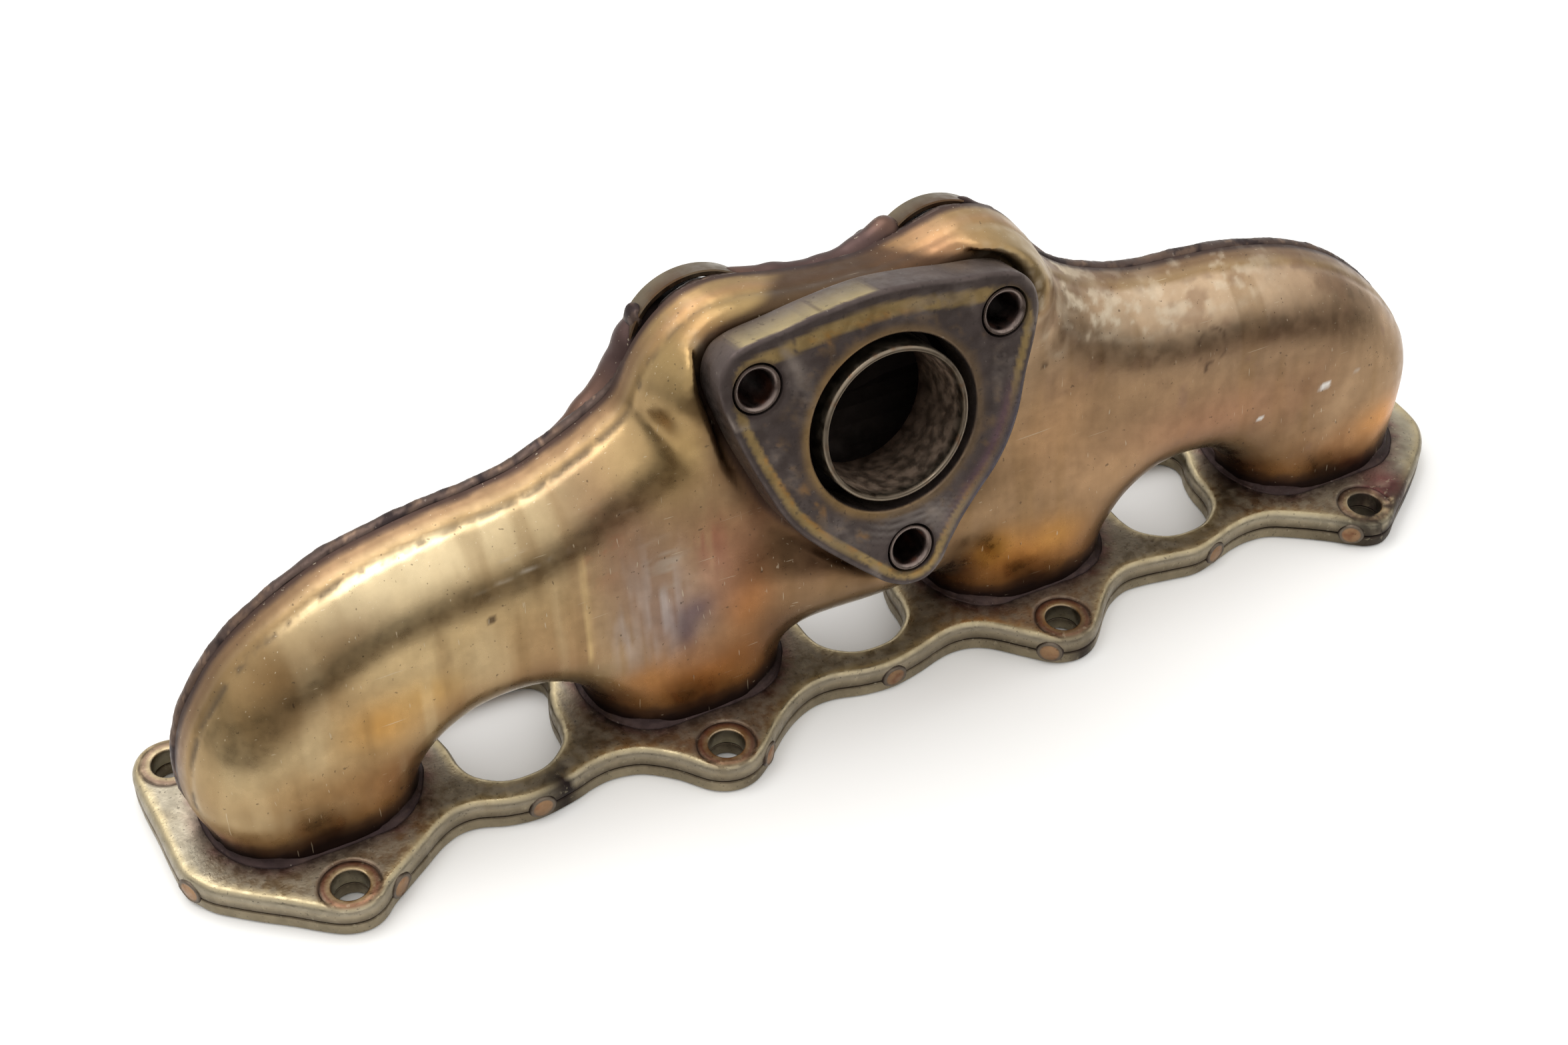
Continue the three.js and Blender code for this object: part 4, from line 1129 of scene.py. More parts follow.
def paint_front():
    """Heat tints of the front shell, from the left leg over the middle to the right leg."""
    c = Paint(front, (174, 152, 115), 0.31)
    x, y, z = c.p.T
    s = polygon_distance(x, z, body_loop)
    w = y - joint_y(z)
    rag = c.noise(7, 1) - 0.5
    fine = c.noise(2.5, 2) - 0.5
    streak = c.noise((3.0, 30, 26), 3, 2) - 0.5
    # bronze towards the right half; the wide pale band at x 258, z 70 along the top of the log is partly tone
    # and partly a painted highlight
    c.mix(ramp(60, 120, x + 40 * rag), (150, 121, 89), 0.32)
    c.mix(ramp(170, 240, x + 40 * rag), (140, 113, 85), 0.35)
    c.spots([
        (258, 70, 62, 14, -4, (200, 174, 144), 0.34, 0.85), (252, 28, 40, 16, 0, (140, 112, 84), 0.34, 0.5),
        (312, 42, 14, 26, 0, (176, 146, 112), 0.26, 0.6)])
    # straw and orange heat tints of the left leg; the pale and near-white ovals at z 66 are a painted
    # highlight along the top of the log, over the tint, and the dark brown ovals at x -3 to 18, z 42 to 59
    # are partly tint and partly a painted dark reflection band
    c.spots([
        (-14, 27, 10, 14, 0, (196, 176, 136), 0.27, 0.6), (17, 31, 10, 8, 0, (196, 142, 66), 0.27, 0.7),
        (31, 35, 8, 5, 0, (206, 160, 86), 0.27, 0.5), (-3, 50, 14, 8, 32, (104, 76, 44), 0.33, 0.85),
        (4, 42, 16, 6, 20, (132, 98, 58), 0.33, 0.5), (-14, 40, 8, 10, 0, (150, 118, 72), 0.3, 0.5),
        (0, 66, 22, 8, 28, (206, 178, 128), 0.3, 0.5), (18, 59, 13, 5, 28, (100, 72, 42), 0.33, 0.8),
        (24, 50, 10, 4, 20, (214, 188, 142), 0.28, 0.6), (32, 66, 28, 6, 8, (238, 218, 176), 0.26, 0.8),
        (46, 58, 16, 4, 8, (140, 108, 68), 0.33, 0.4), (34, 48, 20, 6, 8, (204, 176, 128), 0.3, 0.4),
        (58, 47, 22, 10, 0, (176, 148, 104), 0.3, 0.5), (62, 28, 16, 6, 0, (150, 112, 78), 0.3, 0.6),
        (2, 17, 24, 7, 0, (128, 96, 60), 0.32, 0.8), (20, 13, 10, 9, 0, (116, 76, 42), 0.32, 0.7),
        (62, 38, 16, 12, 0, (148, 110, 72), 0.3, 0.5), (40, 28, 13, 6, 0, (138, 96, 52), 0.3, 0.6),
        (-6, 22, 14, 7, 0, (158, 128, 88), 0.3, 0.6)])
    c.mix(c.spot(79, 58, 5, 8) * ramp(-0.05, 0.12, fine), (186, 104, 58), 0.34, 0.6)
    pool = c.spot(28, 74, 9, 3, 8)
    c.mix(ridge(pool - 0.4, 0.08), (150, 112, 60), 0.36, 0.6)
    wide = c.noise((5, 60, 34), 5, 2) - 0.5
    c.mix(ramp(0.04, 0.26, wide), (132, 104, 68), 0.34, 0.4)
    c.mix(ramp(-0.06, -0.26, wide) * ramp(84, 60, x), (204, 182, 142), 0.3, 0.28)
    # middle: brown over purple and rose, with a pale wiped streak
    c.spots([
        (84, 60, 12, 26, 8, (140, 104, 78), 0.3, 0.75), (88, 40, 11, 22, 0, (150, 124, 106), 0.34, 0.8)])
    narrow = ramp(-0.08, 0.12, c.noise((1.5, 30, 12), 6, 2) - 0.5)
    c.spots([
        (92, 38, 5, 14, 0, (188, 174, 164), 0.42, 0.95),
        (82, 34, 4, 13, 0, (180, 162, 148), 0.42, 0.9)], narrow)
    c.spots([
        (98, 30, 9, 11, 0, (112, 98, 112), 0.3, 0.45), (101, 33, 5, 3.5, 30, (78, 70, 86), 0.34, 0.8),
        (97, 26, 2.5, 6, 0, (76, 64, 76), 0.34, 0.7)])
    c.mix(c.spot(106, 48, 4, 10, 8) * narrow, (128, 66, 60), 0.32, 0.8)
    c.spots([
        (110, 42, 8, 14, 12, (154, 100, 74), 0.3, 0.7), (114, 30, 6, 12, -10, (178, 118, 66), 0.28, 0.7),
        (122, 60, 6, 26, -22, (112, 76, 56), 0.3, 0.8), (131, 38, 9, 8, 0, (100, 72, 54), 0.32, 0.7),
        (100, 80, 9, 16, -22, (170, 142, 92), 0.28, 0.7), (88, 77, 9, 7, 30, (206, 176, 126), 0.26, 0.6)])
    # legs 2 and 3 glow amber above their dark feet
    for px, strength in ((104, 1.0), (194, 1.0), (92, 0.6), (296, 0.35), (20, 0.3)):
        c.mix(c.spot(px, 12, 18, 8), (158, 98, 44), 0.26, 0.85 * strength)
    c.spots([
        (86, 16, 8, 4, 0, (172, 120, 68), 0.27, 0.7), (102, 19, 10, 5, 0, (140, 104, 76), 0.3, 0.7),
        (112, 12, 8, 7, 0, (128, 84, 48), 0.28, 0.8), (184, 19, 8, 6, 0, (206, 146, 62), 0.24, 0.8),
        (204, 16, 9, 6, 0, (190, 138, 72), 0.26, 0.7), (318, 15, 12, 6, 0, (206, 142, 74), 0.26, 0.8),
        # the dark diagonal at x 285, z 33 is a painted shadow of the crease beside leg 4, and the pale one
        # beside it at x 298, z 27 is a painted highlight
        (285, 33, 20, 3, 55, (122, 92, 68), 0.34, 0.4), (298, 27, 14, 4, 60, (186, 156, 122), 0.3, 0.4),
        (172, 22, 3.5, 16, 0, (110, 80, 56), 0.32, 0.4), (121, 20, 8, 10, 0, (104, 74, 52), 0.3, 0.7),
        (104, 41, 9, 9, 0, (182, 152, 126), 0.34, 0.4)])
    # right half; the dark band at x 276, z 55 is a painted shade
    c.spots([
        (212, 62, 12, 9, -35, (128, 98, 70), 0.34, 0.55), (228, 52, 26, 8, -6, (176, 142, 106), 0.32, 0.5),
        (276, 55, 32, 5, -6, (128, 98, 74), 0.34, 0.5), (254, 34, 30, 9, 0, (164, 120, 92), 0.32, 0.6),
        (204, 48, 12, 14, 0, (172, 134, 96), 0.3, 0.6), (222, 30, 16, 8, 0, (186, 150, 112), 0.3, 0.6),
        (300, 64, 22, 7, -18, (176, 146, 118), 0.3, 0.6)])
    c.mix(ramp(0.2, 0.32, rag) * ramp(190, 220, x), (142, 112, 92), 0.38, 0.5)
    # under the arches, sheet that faces down is painted paler: a painted reflection of the pale floor, with a
    # smoother finish
    c.mix(ramp(0.3, 0.75, -c.n[:, 2]), (196, 182, 156), 0.18, 0.8)
    # bumps and the valley between them
    bump = ramp(84, 100, z + 8 * rag)
    c.mix(bump, (156, 132, 90), 0.34)
    c.spots([
        (150, 98, 18, 6, 0, (188, 128, 76), 0.31, 0.85), (166, 100, 7, 4, 0, (188, 112, 56), 0.3, 0.7),
        (112, 104, 7, 4, 0, (142, 102, 70), 0.34, 0.6), (176, 106, 10, 3, 0, (158, 112, 88), 0.32, 0.6)])
    # long brown rim outside the scuffed line
    top = np.clip(ramp(24, 34, z) + ramp(-14, -20, x) + ramp(316, 322, x), 0, 1)
    e = -w
    high = ramp(84, 92, z) * ramp(96, 104, x) * ramp(206, 198, x)
    rim = ramp(8.4, 7.0, e + 1.4 * rag) * top
    c.mix(rim * (1 - 0.7 * high), (146, 120, 84), 0.36, 0.85)
    c.mix(ramp(6.0, 3.4, e + 1.8 * rag) * top * (1 - 0.8 * high), (124, 98, 74), 0.38, 0.85)
    c.mix(ridge(e - 5.2 + 1.2 * rag, 0.6) * top, (150, 126, 98), 0.38, 0.5)
    c.mix(ramp(2.2, 1.0, e + 1.2 * rag) * top, (88, 70, 60), 0.44, 0.9)
    scuff = ridge(e - 8.2 - 0.8 * rag, 0.9) * top * ramp(-0.18, 0.14, fine + 0.5 * streak)
    c.mix(scuff * ramp(150, 80, x), (98, 84, 68), 0.5, 0.85)
    c.mix(scuff * ramp(190, 215, x), (120, 98, 80), 0.5, 0.4)
    c.mix(high * ridge(e - 6.0 + 2 * rag, 1.8), (158, 122, 86), 0.35, 0.6)
    # rims of the arches
    arch = ramp(4.5, 2.0, e + 1.2 * rag) * ramp(4, 2, s) * (1 - top)
    c.mix(arch, (150, 112, 74), 0.35, 0.6)
    # dark feet
    foot = z + 3.2 * rag + 1.5 * fine
    c.mix(ramp(15, 7, foot), (140, 96, 54), 0.28, 0.6)
    c.mix(ramp(7.6, 4.4, foot), (74, 54, 44), 0.34, 0.85)
    c.mix(ramp(4.6, 1.8, foot), (48, 37, 36), 0.42, 0.95)
    # dried pale stains and long scuffs
    blotch = ramp(0.05, 0.2, c.noise((7, 9, 5), 13, 3) - 0.5) * ramp(190, 215, x) * ramp(44, 58, z)
    c.mix(blotch, (126, 98, 76), 0.38, 0.5)
    stain = ramp(0.0, 0.2, c.noise(3.0, 11, 4) - 0.5)
    dried = ((112, 99, 5, 5, 0, 0.7), (111, 90, 3, 6, 0, 0.5), (188, 97, 8, 7, 0, 0.9),
             (200, 91, 5, 6, -40, 0.7), (218, 76, 10, 5, -25, 0.95), (232, 70, 12, 4, -10, 0.8),
             (214, 83, 5, 5, -40, 0.7), (258, 70, 22, 4, -4, 0.5), (205, 78, 4, 7, 10, 0.5))
    for sx, sz, rx, rz, turn, amount in dried:
        edge = c.spot(sx, sz, rx, rz, turn)
        ring = ridge(edge - 0.38, 0.12)
        c.mix(np.clip(edge * stain + 0.4 * ring * (0.5 + fine), 0, 1), (222, 208, 184), 0.6, amount)
    long = ramp(0.1, 0.28, value_noise(c.p @ turn_matrix(8), (16, 9, 1.0), 12, 2) - 0.5)
    c.mix(c.spot(64, 62, 17, 3, 10) * long, (206, 196, 180), 0.5, 0.9)
    c.mix(c.spot(95, 47, 4, 9, 30) * long, (190, 176, 160), 0.5, 0.6)
    scratch = ridge(x - 71.5 - 0.01 * z, 0.5) * ramp(24, 30, z) * ramp(62, 56, z)
    c.mix(scratch, (226, 196, 140), 0.4, 0.7)
    for sx, sz, r in ((291.5, 33, 1.2), (293, 33.2, 0.9), (303, 35, 0.7), (302, 33.6, 0.5), (271, 29.5, 0.8)):
        c.mix(ramp(0.35, 0.6, c.spot(sx, sz, r, r)), (238, 234, 228), 0.6)
    ring = ridge(np.hypot(x - 253.5, z - 58) - 4.6, 0.45) * ramp(-0.25, 0.0, fine)
    c.mix(ring, (92, 70, 56), 0.4, 0.65)
    for sx, sz, r in ((48, 50, 1.1), (251.5, 52, 1.1), (16, 21, 0.6), (-4, 30, 0.6), (124, 98, 0.9),
                      (236, 60, 0.7), (201, 70, 0.8)):
        c.mix(ramp(0.35, 0.7, c.spot(sx, sz, r, r * 1.4)), (74, 56, 44), 0.5, 0.75)
    # shadowed pocket behind the outlet flange
    u, v, t = outlet_coordinates(x, y, z)
    inset = polygon_distance(u, v, out_loop)
    left = ramp(2, -10, u) * ramp(26, 18, v)
    c.mix(ramp(-9, -1, inset) * ramp(3, 8, t) * left, (88, 62, 42), 0.42, 0.75)
    c.mix(ramp(-2.2, -0.2, inset) * ramp(4, 9, t), (60, 44, 38), 0.5, 0.85)
    c.mix(ramp(1.0, 0.2, e), (60, 46, 44), 0.5, 0.8)
    c.write()


def turn_matrix(degrees):
    """Rotation of row vectors in the x, z plane."""
    t = math.radians(degrees)
    return np.array([[math.cos(t), 0, -math.sin(t)], [0, 1, 0], [math.sin(t), 0, math.cos(t)]])


def paint_rear():
    """Invented tints of the same kind, with dark shoulders behind the bumps."""
    c = Paint(rear, (150, 122, 90), 0.34)
    x, z = c.p[:, 0], c.p[:, 2]
    s = polygon_distance(x, z, body_loop)
    rag = c.noise(9, 21) - 0.5
    fine = c.noise(2.5, 22) - 0.5
    leg_tints = ((186, 160, 116), (168, 128, 92), (160, 116, 84), (166, 134, 100))
    for px, tint in zip((1.7, 101.7, 201, 299), leg_tints):
        c.mix(c.spot(px, 30, 30, 34), tint, 0.3, 0.8)
    c.spots([
        (60, 52, 26, 9, 6, (126, 98, 72), 0.34, 0.6), (250, 54, 30, 9, -4, (122, 92, 74), 0.34, 0.6),
        (150, 60, 34, 24, 0, (112, 84, 78), 0.38, 0.75), (150, 82, 30, 10, 0, (170, 112, 66), 0.34, 0.5),
        (110, 40, 10, 14, 0, (120, 96, 112), 0.32, 0.4), (196, 36, 12, 12, 0, (128, 98, 104), 0.32, 0.4)])
    c.mix(ramp(0.14, 0.3, rag), (188, 150, 104), 0.3, 0.5)
    stain = ramp(0.06, 0.2, fine) * ramp(0.05, 0.25, rag)
    c.mix(stain, (196, 182, 160), 0.55, 0.4)
    c.mix(ramp(9, 4, s + 3 * rag), (92, 70, 64), 0.42, 0.9)
    shoulder = np.maximum(c.spot(108, 96, 22, 14), c.spot(192, 97, 20, 14))
    shoulder = np.maximum(shoulder, c.spot(150, 100, 24, 6)) * ramp(14, 8, c.p[:, 1] - joint_y(z))
    c.mix(ramp(0.15, 0.6, shoulder), (80, 64, 62), 0.46, 0.9)
    u, v, t = outlet_coordinates(*c.p.T)
    for bu, bv in OUT_BOLTS[:2]:
        r = np.hypot(u - bu, v - bv)
        # near black in the narrow slot under each hoop strap, on its upper side: painted shade
        slot = ramp(14.6, 15.6, r) * ramp(20, 18.5, r) * ramp(26, 28, t) * ramp(35, 33, t)
        c.mix(slot * ramp(2, 8, v - bv), (20, 16, 15), 0.8, 0.95)
    foot = z + 4 * rag
    c.mix(ramp(18, 9, foot), (156, 106, 60), 0.3, 0.5)
    c.mix(ramp(9, 4, foot), (56, 42, 40), 0.42, 0.95)
    c.write()


def paint_upper():
    """Olive satin with gold crests, whose gold is partly tint and partly painted highlight, ring marks round
    the bolts and scorched spots.
    """
    c = Paint(upper, (146, 137, 121), 0.4)
    x, y, z = c.p.T
    rag = c.noise(8, 31) - 0.5
    fine = c.noise(2.2, 32) - 0.5
    edge = polygon_distance(x, y, plate_outline)
    hole = np.full(len(x), -99.0)
    for wx in WINDOW_X:
        hole = np.maximum(hole, polygon_distance(x, y, window_loop(wx)))
    c.mix(ramp(30, -20, x), (158, 150, 132), 0.38, 0.6)
    c.mix(ramp(0.1, 0.3, rag), (118, 106, 86), 0.46, 0.5)
    c.mix(ramp(230, 300, x), (176, 168, 146), 0.38, 0.6)
    # gold along the rounded crests of the edges and windows: partly tint, partly painted highlight
    crest_tint_and_highlight = ridge(np.minimum(edge, -hole) - 1.6 + 0.6 * fine, 1.1) * ramp(-2.6, -0.5, z)
    c.mix(crest_tint_and_highlight, (184, 168, 130), 0.34, 0.75)
    c.mix(ramp(-1.4, -2.6, z), (154, 141, 116), 0.42, 0.7)
    c.mix(ramp(-3.9, -4.5, z + 0.5 * fine), (84, 72, 58), 0.55, 0.7)
    for px in PORT_X:
        out = -polygon_distance(x, y, leg_foot(px, 0))
        c.mix(ramp(6.5, 3.0, out + 3 * rag + fine), (124, 106, 92), 0.4, 0.6)
        c.mix(ridge(out - 3.0 - 1.2 * rag, 0.7), (112, 72, 74), 0.4, 0.55)
        c.mix(ramp(2.5, 1.3, out + 1.2 * rag), (64, 50, 48), 0.45, 0.9)
    worn = {0: 0.9, 1: 0.8, 2: 0.85, 3: 0.5, 4: 0.5}
    for i, (bx, by) in enumerate(BOLTS):
        r = np.hypot(x - bx, y - by) + 0.5 * fine
        amount = worn.get(i, 0.45)
        patch = ramp(-0.34, 0.06, rag + 0.5 * fine + 0.2)
        c.mix(ramp(8.6, 7.4, r) * ramp(-0.6, -0.2, z) * patch, (126, 84, 58), 0.5, 0.7 * amount)
        c.mix(ridge(r - 6.2, 0.9) * ramp(-0.6, -0.2, z), (116, 66, 58), 0.45, 0.6 * amount)
        c.mix(ridge(r - 5.3, 0.6) * ramp(-1.0, -0.2, z), (176, 160, 124), 0.35, 0.8)
        c.mix(ridge(r - WASHER_R, 0.4) * ramp(-0.9, -0.2, z), (48, 36, 32), 0.6, 0.8)
        c.mix(ramp(4.9, 4.6, np.hypot(x - bx, y - by)) * ramp(-0.5, -1.2, z), (150, 140, 112), 0.35, 0.7)
    # scorched by bolt 4 and beside the button at its right
    for sx, sy, r, amount in ((300, -4, 11, 1.0), (312, 1, 11, 0.9), (59, 7.5, 6.5, 1.0), (325, 16, 10, 0.3),
                              (202, -4, 7, 0.45)):
        d = np.hypot(x - sx, y - sy)
        c.mix(ridge(d, r) * ramp(-0.3, 0.15, rag + fine + 0.1), (40, 32, 32), 0.55, amount)
    c.mix(ridge(np.hypot(x - 310, y - 6), 6), (140, 58, 66), 0.4, 0.4)
    c.write()


def paint_lower():
    """Plainer and duller than the upper plate."""
    c = Paint(lower, (150, 138, 114), 0.42)
    x, y, z = c.p.T
    rag = c.noise(8, 41) - 0.5
    fine = c.noise(2.2, 42) - 0.5
    c.mix(ramp(0.05, 0.3, rag), (104, 92, 72), 0.5, 0.6)
    c.mix(ramp(-0.1, -0.3, rag), (172, 159, 132), 0.4, 0.6)
    c.mix(ramp(LOWER_TOP - 0.7, LOWER_TOP, z + 0.3 * fine), (70, 58, 48), 0.55, 0.8)
    under = ramp(-0.4, -0.8, c.n[:, 2])
    c.mix(under, (128, 118, 104), 0.42, 0.8)
    for px in PORT_X:
        out = -polygon_distance(x, y, leg_foot(px, -1.8))
        c.mix(ramp(5, 1.5, out + 2 * rag) * under, (54, 46, 44), 0.6, 0.85)
        c.mix(ridge(out - 6 - 2 * rag, 1.6) * under, (134, 84, 62), 0.5, 0.5)
    for sx, sy, r in ((58, 6, 4.5), (202, -8, 5), (300, -6, 12), (318, 4, 10)):
        c.mix(ridge(np.hypot(x - sx, y - sy), r), (42, 34, 34), 0.6, 0.9)
    c.write()


def paint_outlet():
    """Purple-grey scale with an ochre border band, a worn upper edge and a chipped halo round the bore."""
    c = Paint(outlet_flange, (84, 74, 71), 0.5)
    u, v, s = outlet_coordinates(*c.p.T)
    rag = c.noise(7, 51) - 0.5
    fine = c.noise(2.2, 52) - 0.5
    inset = polygon_distance(u, v, out_loop)
    r = np.hypot(u, v)
    face = ramp(0.9, 0.2, s)
    c.mix(ramp(0.08, 0.3, rag), (72, 61, 60), 0.55, 0.6)
    c.mix(ramp(-0.15, -0.35, rag), (100, 90, 86), 0.45, 0.5)
    c.mix(ramp(0.8, 2.4, s), (94, 83, 78), 0.45, 0.8)
    c.mix(ramp(10, 11.8, s + 1.5 * rag), (130, 110, 76), 0.42, 0.5)
    fade = np.clip(1.1 - ramp(5, 40, u) * ramp(10, -14, v) * 1.1, 0, 1)
    chips = ramp(-0.36, -0.24, fine + 0.3 * rag)
    upper_band = ramp(12, 24, v)
    width = 1.1 + 0.8 * upper_band
    start = 1.9 + 1.4 * upper_band
    band = np.exp(-((np.abs(inset - start - width + 0.3 * rag) / width) ** 8)) * face * fade
    c.mix(band * chips, (164, 140, 94), 0.42, 0.98)
    lower_part = ramp(0.2, 0.9, (inset - start + 0.8 * rag) / (2 * width))
    c.mix(band * lower_part * ramp(-0.1, 0.1, fine) * ramp(30, 0, u + v * 0.3), (186, 134, 60), 0.45, 0.7)
    c.mix(ridge(inset - 7.6, 1.0) * ramp(0.1, 0.22, fine) * face * ramp(16, -6, u),
          (170, 122, 62), 0.5, 0.6)
    halo = ridge(r - OUT_BORE - 1.0 - 1.2 * rag, 1.3) * face
    left = ramp(24, -20, u)
    c.mix(halo * (0.35 + 0.55 * left), (158, 128, 82), 0.45, 0.85)
    c.mix(ridge(r - 28.5, 3.4) * ramp(0.0, 0.2, fine) * face, (134, 108, 76), 0.5, 0.4)
    # worn patch on the upper left edge
    along = ramp(-39, -36, u + fine) * ramp(0, -3, u + 2 * fine) * ramp(18, 24, v)
    reach = 2.2 + 3.4 * ramp(-34, -18, u)
    worn = along * ramp(0.7, 1.3, s + 0.8 * fine) * ramp(reach + 0.8, reach, s + 1.6 * fine)
    cracks = ramp(0.06, 0.0, np.abs(c.noise(3.5, 53, 1) - 0.5))
    c.mix(worn, (160, 144, 106), 0.38, 0.95)
    c.mix(worn * cracks, (90, 76, 62), 0.5, 0.6)
    # wiped pale patches, machining marks and blue along the lower right edge
    for pu, pv, ru, rv, turn in ((-24, 17, 4, 7, 10), (31, 6, 4, 9, -20), (10, -31, 4, 8, 30),
                                 (-31, -1, 2, 9, 20),
                                 (-18, -24, 3, 7, 40), (14, 28, 9, 3, 0)):
        a = math.radians(turn)
        du, dv = u - pu, v - pv
        e = ((du * math.cos(a) + dv * math.sin(a)) / ru) ** 2
        e += ((-du * math.sin(a) + dv * math.cos(a)) / rv) ** 2
        c.mix(np.exp(-e) * ramp(-0.2, 0.1, rag + fine) * face, (142, 132, 126), 0.42, 0.5)
    arcs = 0.5 + 0.5 * np.sin(np.hypot(u - 1, v + 8) * 3.2)
    c.mix(arcs * np.exp(-(((u - 2) / 12) ** 2) - ((v + 27.5) / 3) ** 2) * face, (156, 148, 142), 0.35, 0.7)
    low_right = ramp(5, 25, u) * ramp(6, -8, v)
    c.mix(ridge(inset - 1.6, 1.2) * low_right, (92, 90, 106), 0.4, 0.5)
    c.mix(ridge(inset - 4.6, 1.4) * low_right * face, (124, 92, 104), 0.4, 0.5)
    for bu, bv in OUT_BOLTS:
        q = np.hypot(u - bu, v - bv)
        c.mix(ramp(7.6, 6.7, q) * face, (54, 44, 42), 0.5, 0.7)
        c.mix(ridge(q - 10 - 2 * rag, 1.6) * ramp(0, 0.2, rag) * face, (160, 148, 138), 0.42, 0.6)
    c.write()


def paint_small():
    """Liner, sleeves, hoops, welds and buttons."""
    c = Paint(liner, (128, 117, 102), 0.38)
    u, v, s = outlet_coordinates(*c.p.T)
    fine = c.noise(2.0, 61) - 0.5
    # inside the bore: paler just inside the mouth and darker deeper in, painted light and shade
    inner = ramp(19.4, 18.9, np.hypot(u, v))
    c.mix(inner * ramp(0.3, 1.6, s), (206, 184, 164), 0.5, 0.95)
    c.mix(inner * ramp(10, 21, s), (120, 98, 84), 0.5, 0.9)
    c.mix(ramp(0.1, 0.3, fine) * ramp(2, 0, s), (116, 84, 58), 0.5, 0.7)
    c.write()
    dress(liner, oxide_material("liner_steel", 1.0, 1.4, 0.01, (0.12, 0.09, 0.07, 1), 0.15))
    dark = oxide_material("sleeve_steel", 1.0, 1.2, 0.02)
    for i, sleeve in enumerate(sleeves):
        c = Paint(sleeve, (92, 80, 76), 0.36)
        u, v, s = outlet_coordinates(*c.p.T)
        q = np.hypot(u - OUT_BOLTS[i][0], v - OUT_BOLTS[i][1])
        c.mix(ridge(q - 5.4, 0.6) * ramp(1.2, 0.2, s), (150, 136, 128), 0.3, 0.7)
        rust = ramp(-0.1, 0.2, c.noise(3, 70 + i, 2) - 0.5)
        c.mix(ramp(4.9, 4.6, q) * rust, (104, 56, 34), 0.6, 0.8)
        # near black deep in the bore: painted shade
        c.mix(ramp(8, 16, s) * ramp(4.9, 4.6, q), (24, 18, 16), 0.7, 0.9)
        c.write()
        dress(sleeve, dark)
    strap = oxide_material("hoop_steel", 1.0, 1.6, 0.02, (0.1, 0.08, 0.06, 1))
    for hoop in hoops:
        c = Paint(hoop, (112, 102, 84), 0.4)
        _, _, s = outlet_coordinates(*c.p.T)
        c.mix(ramp(HOOP_FROM + 0.9, HOOP_FROM + 0.3, s), (84, 62, 44), 0.48, 0.9)
        c.mix(ramp(0.55, 0.7, c.noise(6, 75)), (100, 88, 72), 0.42, 0.7)
        c.write()
        dress(hoop, strap)
    scale = oxide_material("weld_scale", 0.85, 1.5, 0.08)
    for i, bead in enumerate([seam, *tacks, *port_welds]):
        c = Paint(bead, (82, 68, 62), 0.46)
        c.mix(ramp(0.5, 0.7, c.noise(5, 80)), (104, 84, 70), 0.42, 0.7)
        c.mix(ramp(0.56, 0.7, c.noise(3, 81)), (44, 36, 38), 0.55, 0.8)
        c.mix(ramp(0.66, 0.74, c.noise(2.2, 82)), (150, 124, 104), 0.45, 0.5)
        if bead in port_welds:
            c.mix(np.ones(len(c.p)), (50, 38, 38), 0.42, 0.85)
        c.write()
        dress(bead, scale)
    copper = oxide_material("plug_weld_copper", 1.0, 1.1, 0.04, (0.1, 0.05, 0.03, 1))
    for i, button in enumerate(buttons):
        c = Paint(button, (154, 122, 92), 0.38)
        centre = c.p.mean(0)
        r = np.linalg.norm(c.p - centre, axis=1)
        c.mix(ramp(2.3, 2.8, r), (112, 102, 90), 0.42)
        c.mix(ramp(3.2, 3.6, r), (56, 44, 40), 0.55, 0.9)
        c.mix(ramp(0.5, 0.75, c.noise(2.4, 90 + i)) * ramp(3, 2, r), (128, 84, 64), 0.5, 0.6)
        c.write()
        dress(button, copper)


paint_front()
paint_rear()
paint_upper()
paint_lower()
paint_outlet()
sheet = shell_material()
dress(front, sheet)
dress(rear, sheet)
plate = plate_material()
dress(upper, plate)
dress(lower, plate)
dress(outlet_flange, oxide_material("outlet_scale", 0.8, 1.5, 0.04))
paint_small()
inner = cad_material("inner_pipe_scale", (46, 38, 34), 0.7, 0.6, 1.5)
for node in [f"inner_runner_{i + 1}" for i in range(4)] + ["inner_collector"]:
    dress(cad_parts[node], inner)


# ---- camera ---------------------------------------------------------------
CAMERA_AZIMUTH = 0.48892
CAMERA_ELEVATION = 0.74248
CAMERA_ROLL = 0.01447
CAMERA_LENS = 55.39      # millimetres, for a sensor 36 mm wide
CAMERA_AT = Vector((-0.23103, -0.39956, 0.46137))


def add_camera():
    """Camera at the photographer's place; angles in radians."""
    look = Vector((math.sin(CAMERA_AZIMUTH) * math.cos(CAMERA_ELEVATION),
                   math.cos(CAMERA_AZIMUTH) * math.cos(CAMERA_ELEVATION), -math.sin(CAMERA_ELEVATION)))
    right = look.cross(Vector((0, 0, 1))).normalized()
    up = right.cross(look)
    turn = Matrix.Rotation(CAMERA_ROLL, 3, -look)
    right, up = turn @ right, turn @ up
    data = bpy.data.cameras.new("camera")
    data.sensor_width = 36
    data.lens = CAMERA_LENS
    data.clip_start, data.clip_end = 0.01, 50
    cam = bpy.data.objects.new("camera", data)
    cam.matrix_world = Matrix((right, up, -look)).transposed().to_4x4()
    cam.location = CAMERA_AT
    bpy.context.scene.collection.objects.link(cam)
    bpy.context.scene.camera = cam


add_camera()


# ---- floor and light -------------------------------------------------------------------
def plain_material(name, color, rough):
    mat = bpy.data.materials.new(name)
    mat.use_nodes = True
    b = mat.node_tree.nodes["Principled BSDF"]
    b.inputs["Base Color"].default_value = (*color, 1)
    b.inputs["Roughness"].default_value = rough
    b.inputs["Specular IOR Level"].default_value = 0.2
    return mat


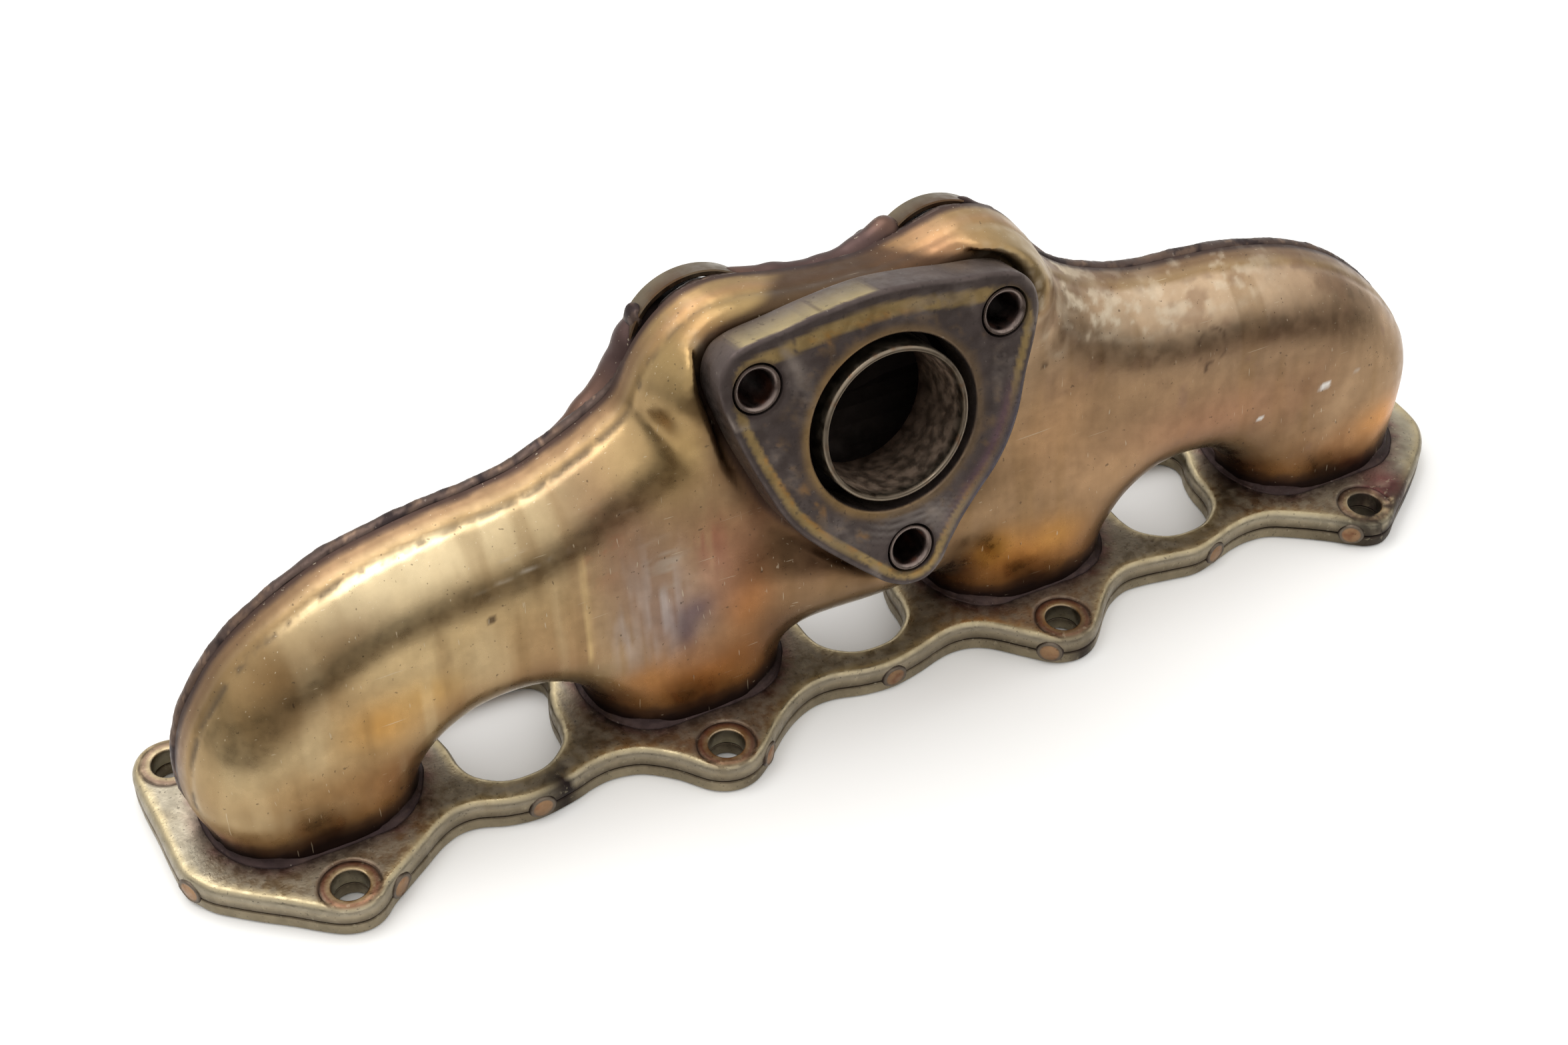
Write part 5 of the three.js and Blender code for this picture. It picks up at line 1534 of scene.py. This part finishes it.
def add_floor():
    bm = bmesh.new()
    bmesh.ops.create_grid(bm, x_segments=2, y_segments=2, size=3.0)
    mesh = bpy.data.meshes.new("floor")
    bm.to_mesh(mesh)
    bm.free()
    floor = link("floor", mesh, False)
    floor.location.z = -0.0002      # just under the flange
    mesh.materials.append(plain_material("floor_pale", (0.86, 0.86, 0.85), 0.75))


def area_light(name, at, look, size, power):
    data = bpy.data.lights.new(name, "AREA")
    data.shape = "RECTANGLE"
    data.size, data.size_y = size
    data.energy = power
    obj = bpy.data.objects.new(name, data)
    obj.location = at
    obj.rotation_euler = (Vector(look) - Vector(at)).to_track_quat("-Z", "Y").to_euler()
    bpy.context.scene.collection.objects.link(obj)


ROOM_DARK, ROOM_BRIGHT = 0.22, 1.3     # strength low down in front, and above


def add_world():
    """Bright soft room that is darker low down in front, as a studio is round the photographer."""
    world = bpy.data.worlds.new("studio")
    bpy.context.scene.world = world
    world.use_nodes = True
    tree = world.node_tree
    coord = tree.nodes.new("ShaderNodeTexCoord")
    split = tree.nodes.new("ShaderNodeSeparateXYZ")
    tree.links.new(coord.outputs["Generated"], split.inputs[0])

    def span(value, a, b, low, high):
        node = tree.nodes.new("ShaderNodeMapRange")
        node.interpolation_type = "SMOOTHSTEP"
        for socket, v in zip(node.inputs[1:5], (a, b, low, high)):
            socket.default_value = v
        tree.links.new(value, node.inputs[0])
        return node.outputs[0]

    def combine(operation, a, b):
        node = tree.nodes.new("ShaderNodeMath")
        node.operation = operation
        tree.links.new(a, node.inputs[0])
        tree.links.new(b, node.inputs[1])
        return node.outputs[0]

    rise = span(split.outputs["Z"], 0.02, 0.55, 0.0, 1.0)
    behind = span(split.outputs["Y"], 0.0, 0.7, 0.0, 0.75)
    level = combine("MAXIMUM", rise, behind)
    strength = span(level, 0.0, 1.0, ROOM_DARK, ROOM_BRIGHT)
    background = tree.nodes["Background"]
    background.inputs["Color"].default_value = (1.0, 0.985, 0.965, 1)
    tree.links.new(strength, background.inputs["Strength"])


def darken_floor_in_reflections(floor):
    """The pale table ends in front of the part; only mirror images show what lies beyond it."""
    mat = floor.data.materials[0]
    tree = mat.node_tree
    pale = tree.nodes["Principled BSDF"]
    dark = tree.nodes.new("ShaderNodeBsdfDiffuse")
    dark.inputs["Color"].default_value = (0.13, 0.11, 0.095, 1)
    coord = tree.nodes.new("ShaderNodeTexCoord")
    split = tree.nodes.new("ShaderNodeSeparateXYZ")
    tree.links.new(coord.outputs["Object"], split.inputs[0])
    beyond = tree.nodes.new("ShaderNodeMapRange")
    beyond.interpolation_type = "SMOOTHSTEP"
    for socket, v in zip(beyond.inputs[1:5], (-0.09, -0.24, 0, 1)):
        socket.default_value = v
    tree.links.new(split.outputs["Y"], beyond.inputs[0])
    path = tree.nodes.new("ShaderNodeLightPath")
    both = tree.nodes.new("ShaderNodeMath")
    both.operation = "MULTIPLY"
    tree.links.new(beyond.outputs[0], both.inputs[0])
    tree.links.new(path.outputs["Is Glossy Ray"], both.inputs[1])
    mix = tree.nodes.new("ShaderNodeMixShader")
    tree.links.new(both.outputs[0], mix.inputs[0])
    tree.links.new(pale.outputs[0], mix.inputs[1])
    tree.links.new(dark.outputs[0], mix.inputs[2])
    tree.links.new(mix.outputs[0], tree.nodes["Material Output"].inputs[0])


add_floor()
add_world()
darken_floor_in_reflections(bpy.data.objects["floor"])
area_light("key", (-0.3, 0.5, 1.3), (0, 0, 0.04), (1.3, 0.9), 10)
bpy.context.scene.view_settings.view_transform = "Standard"
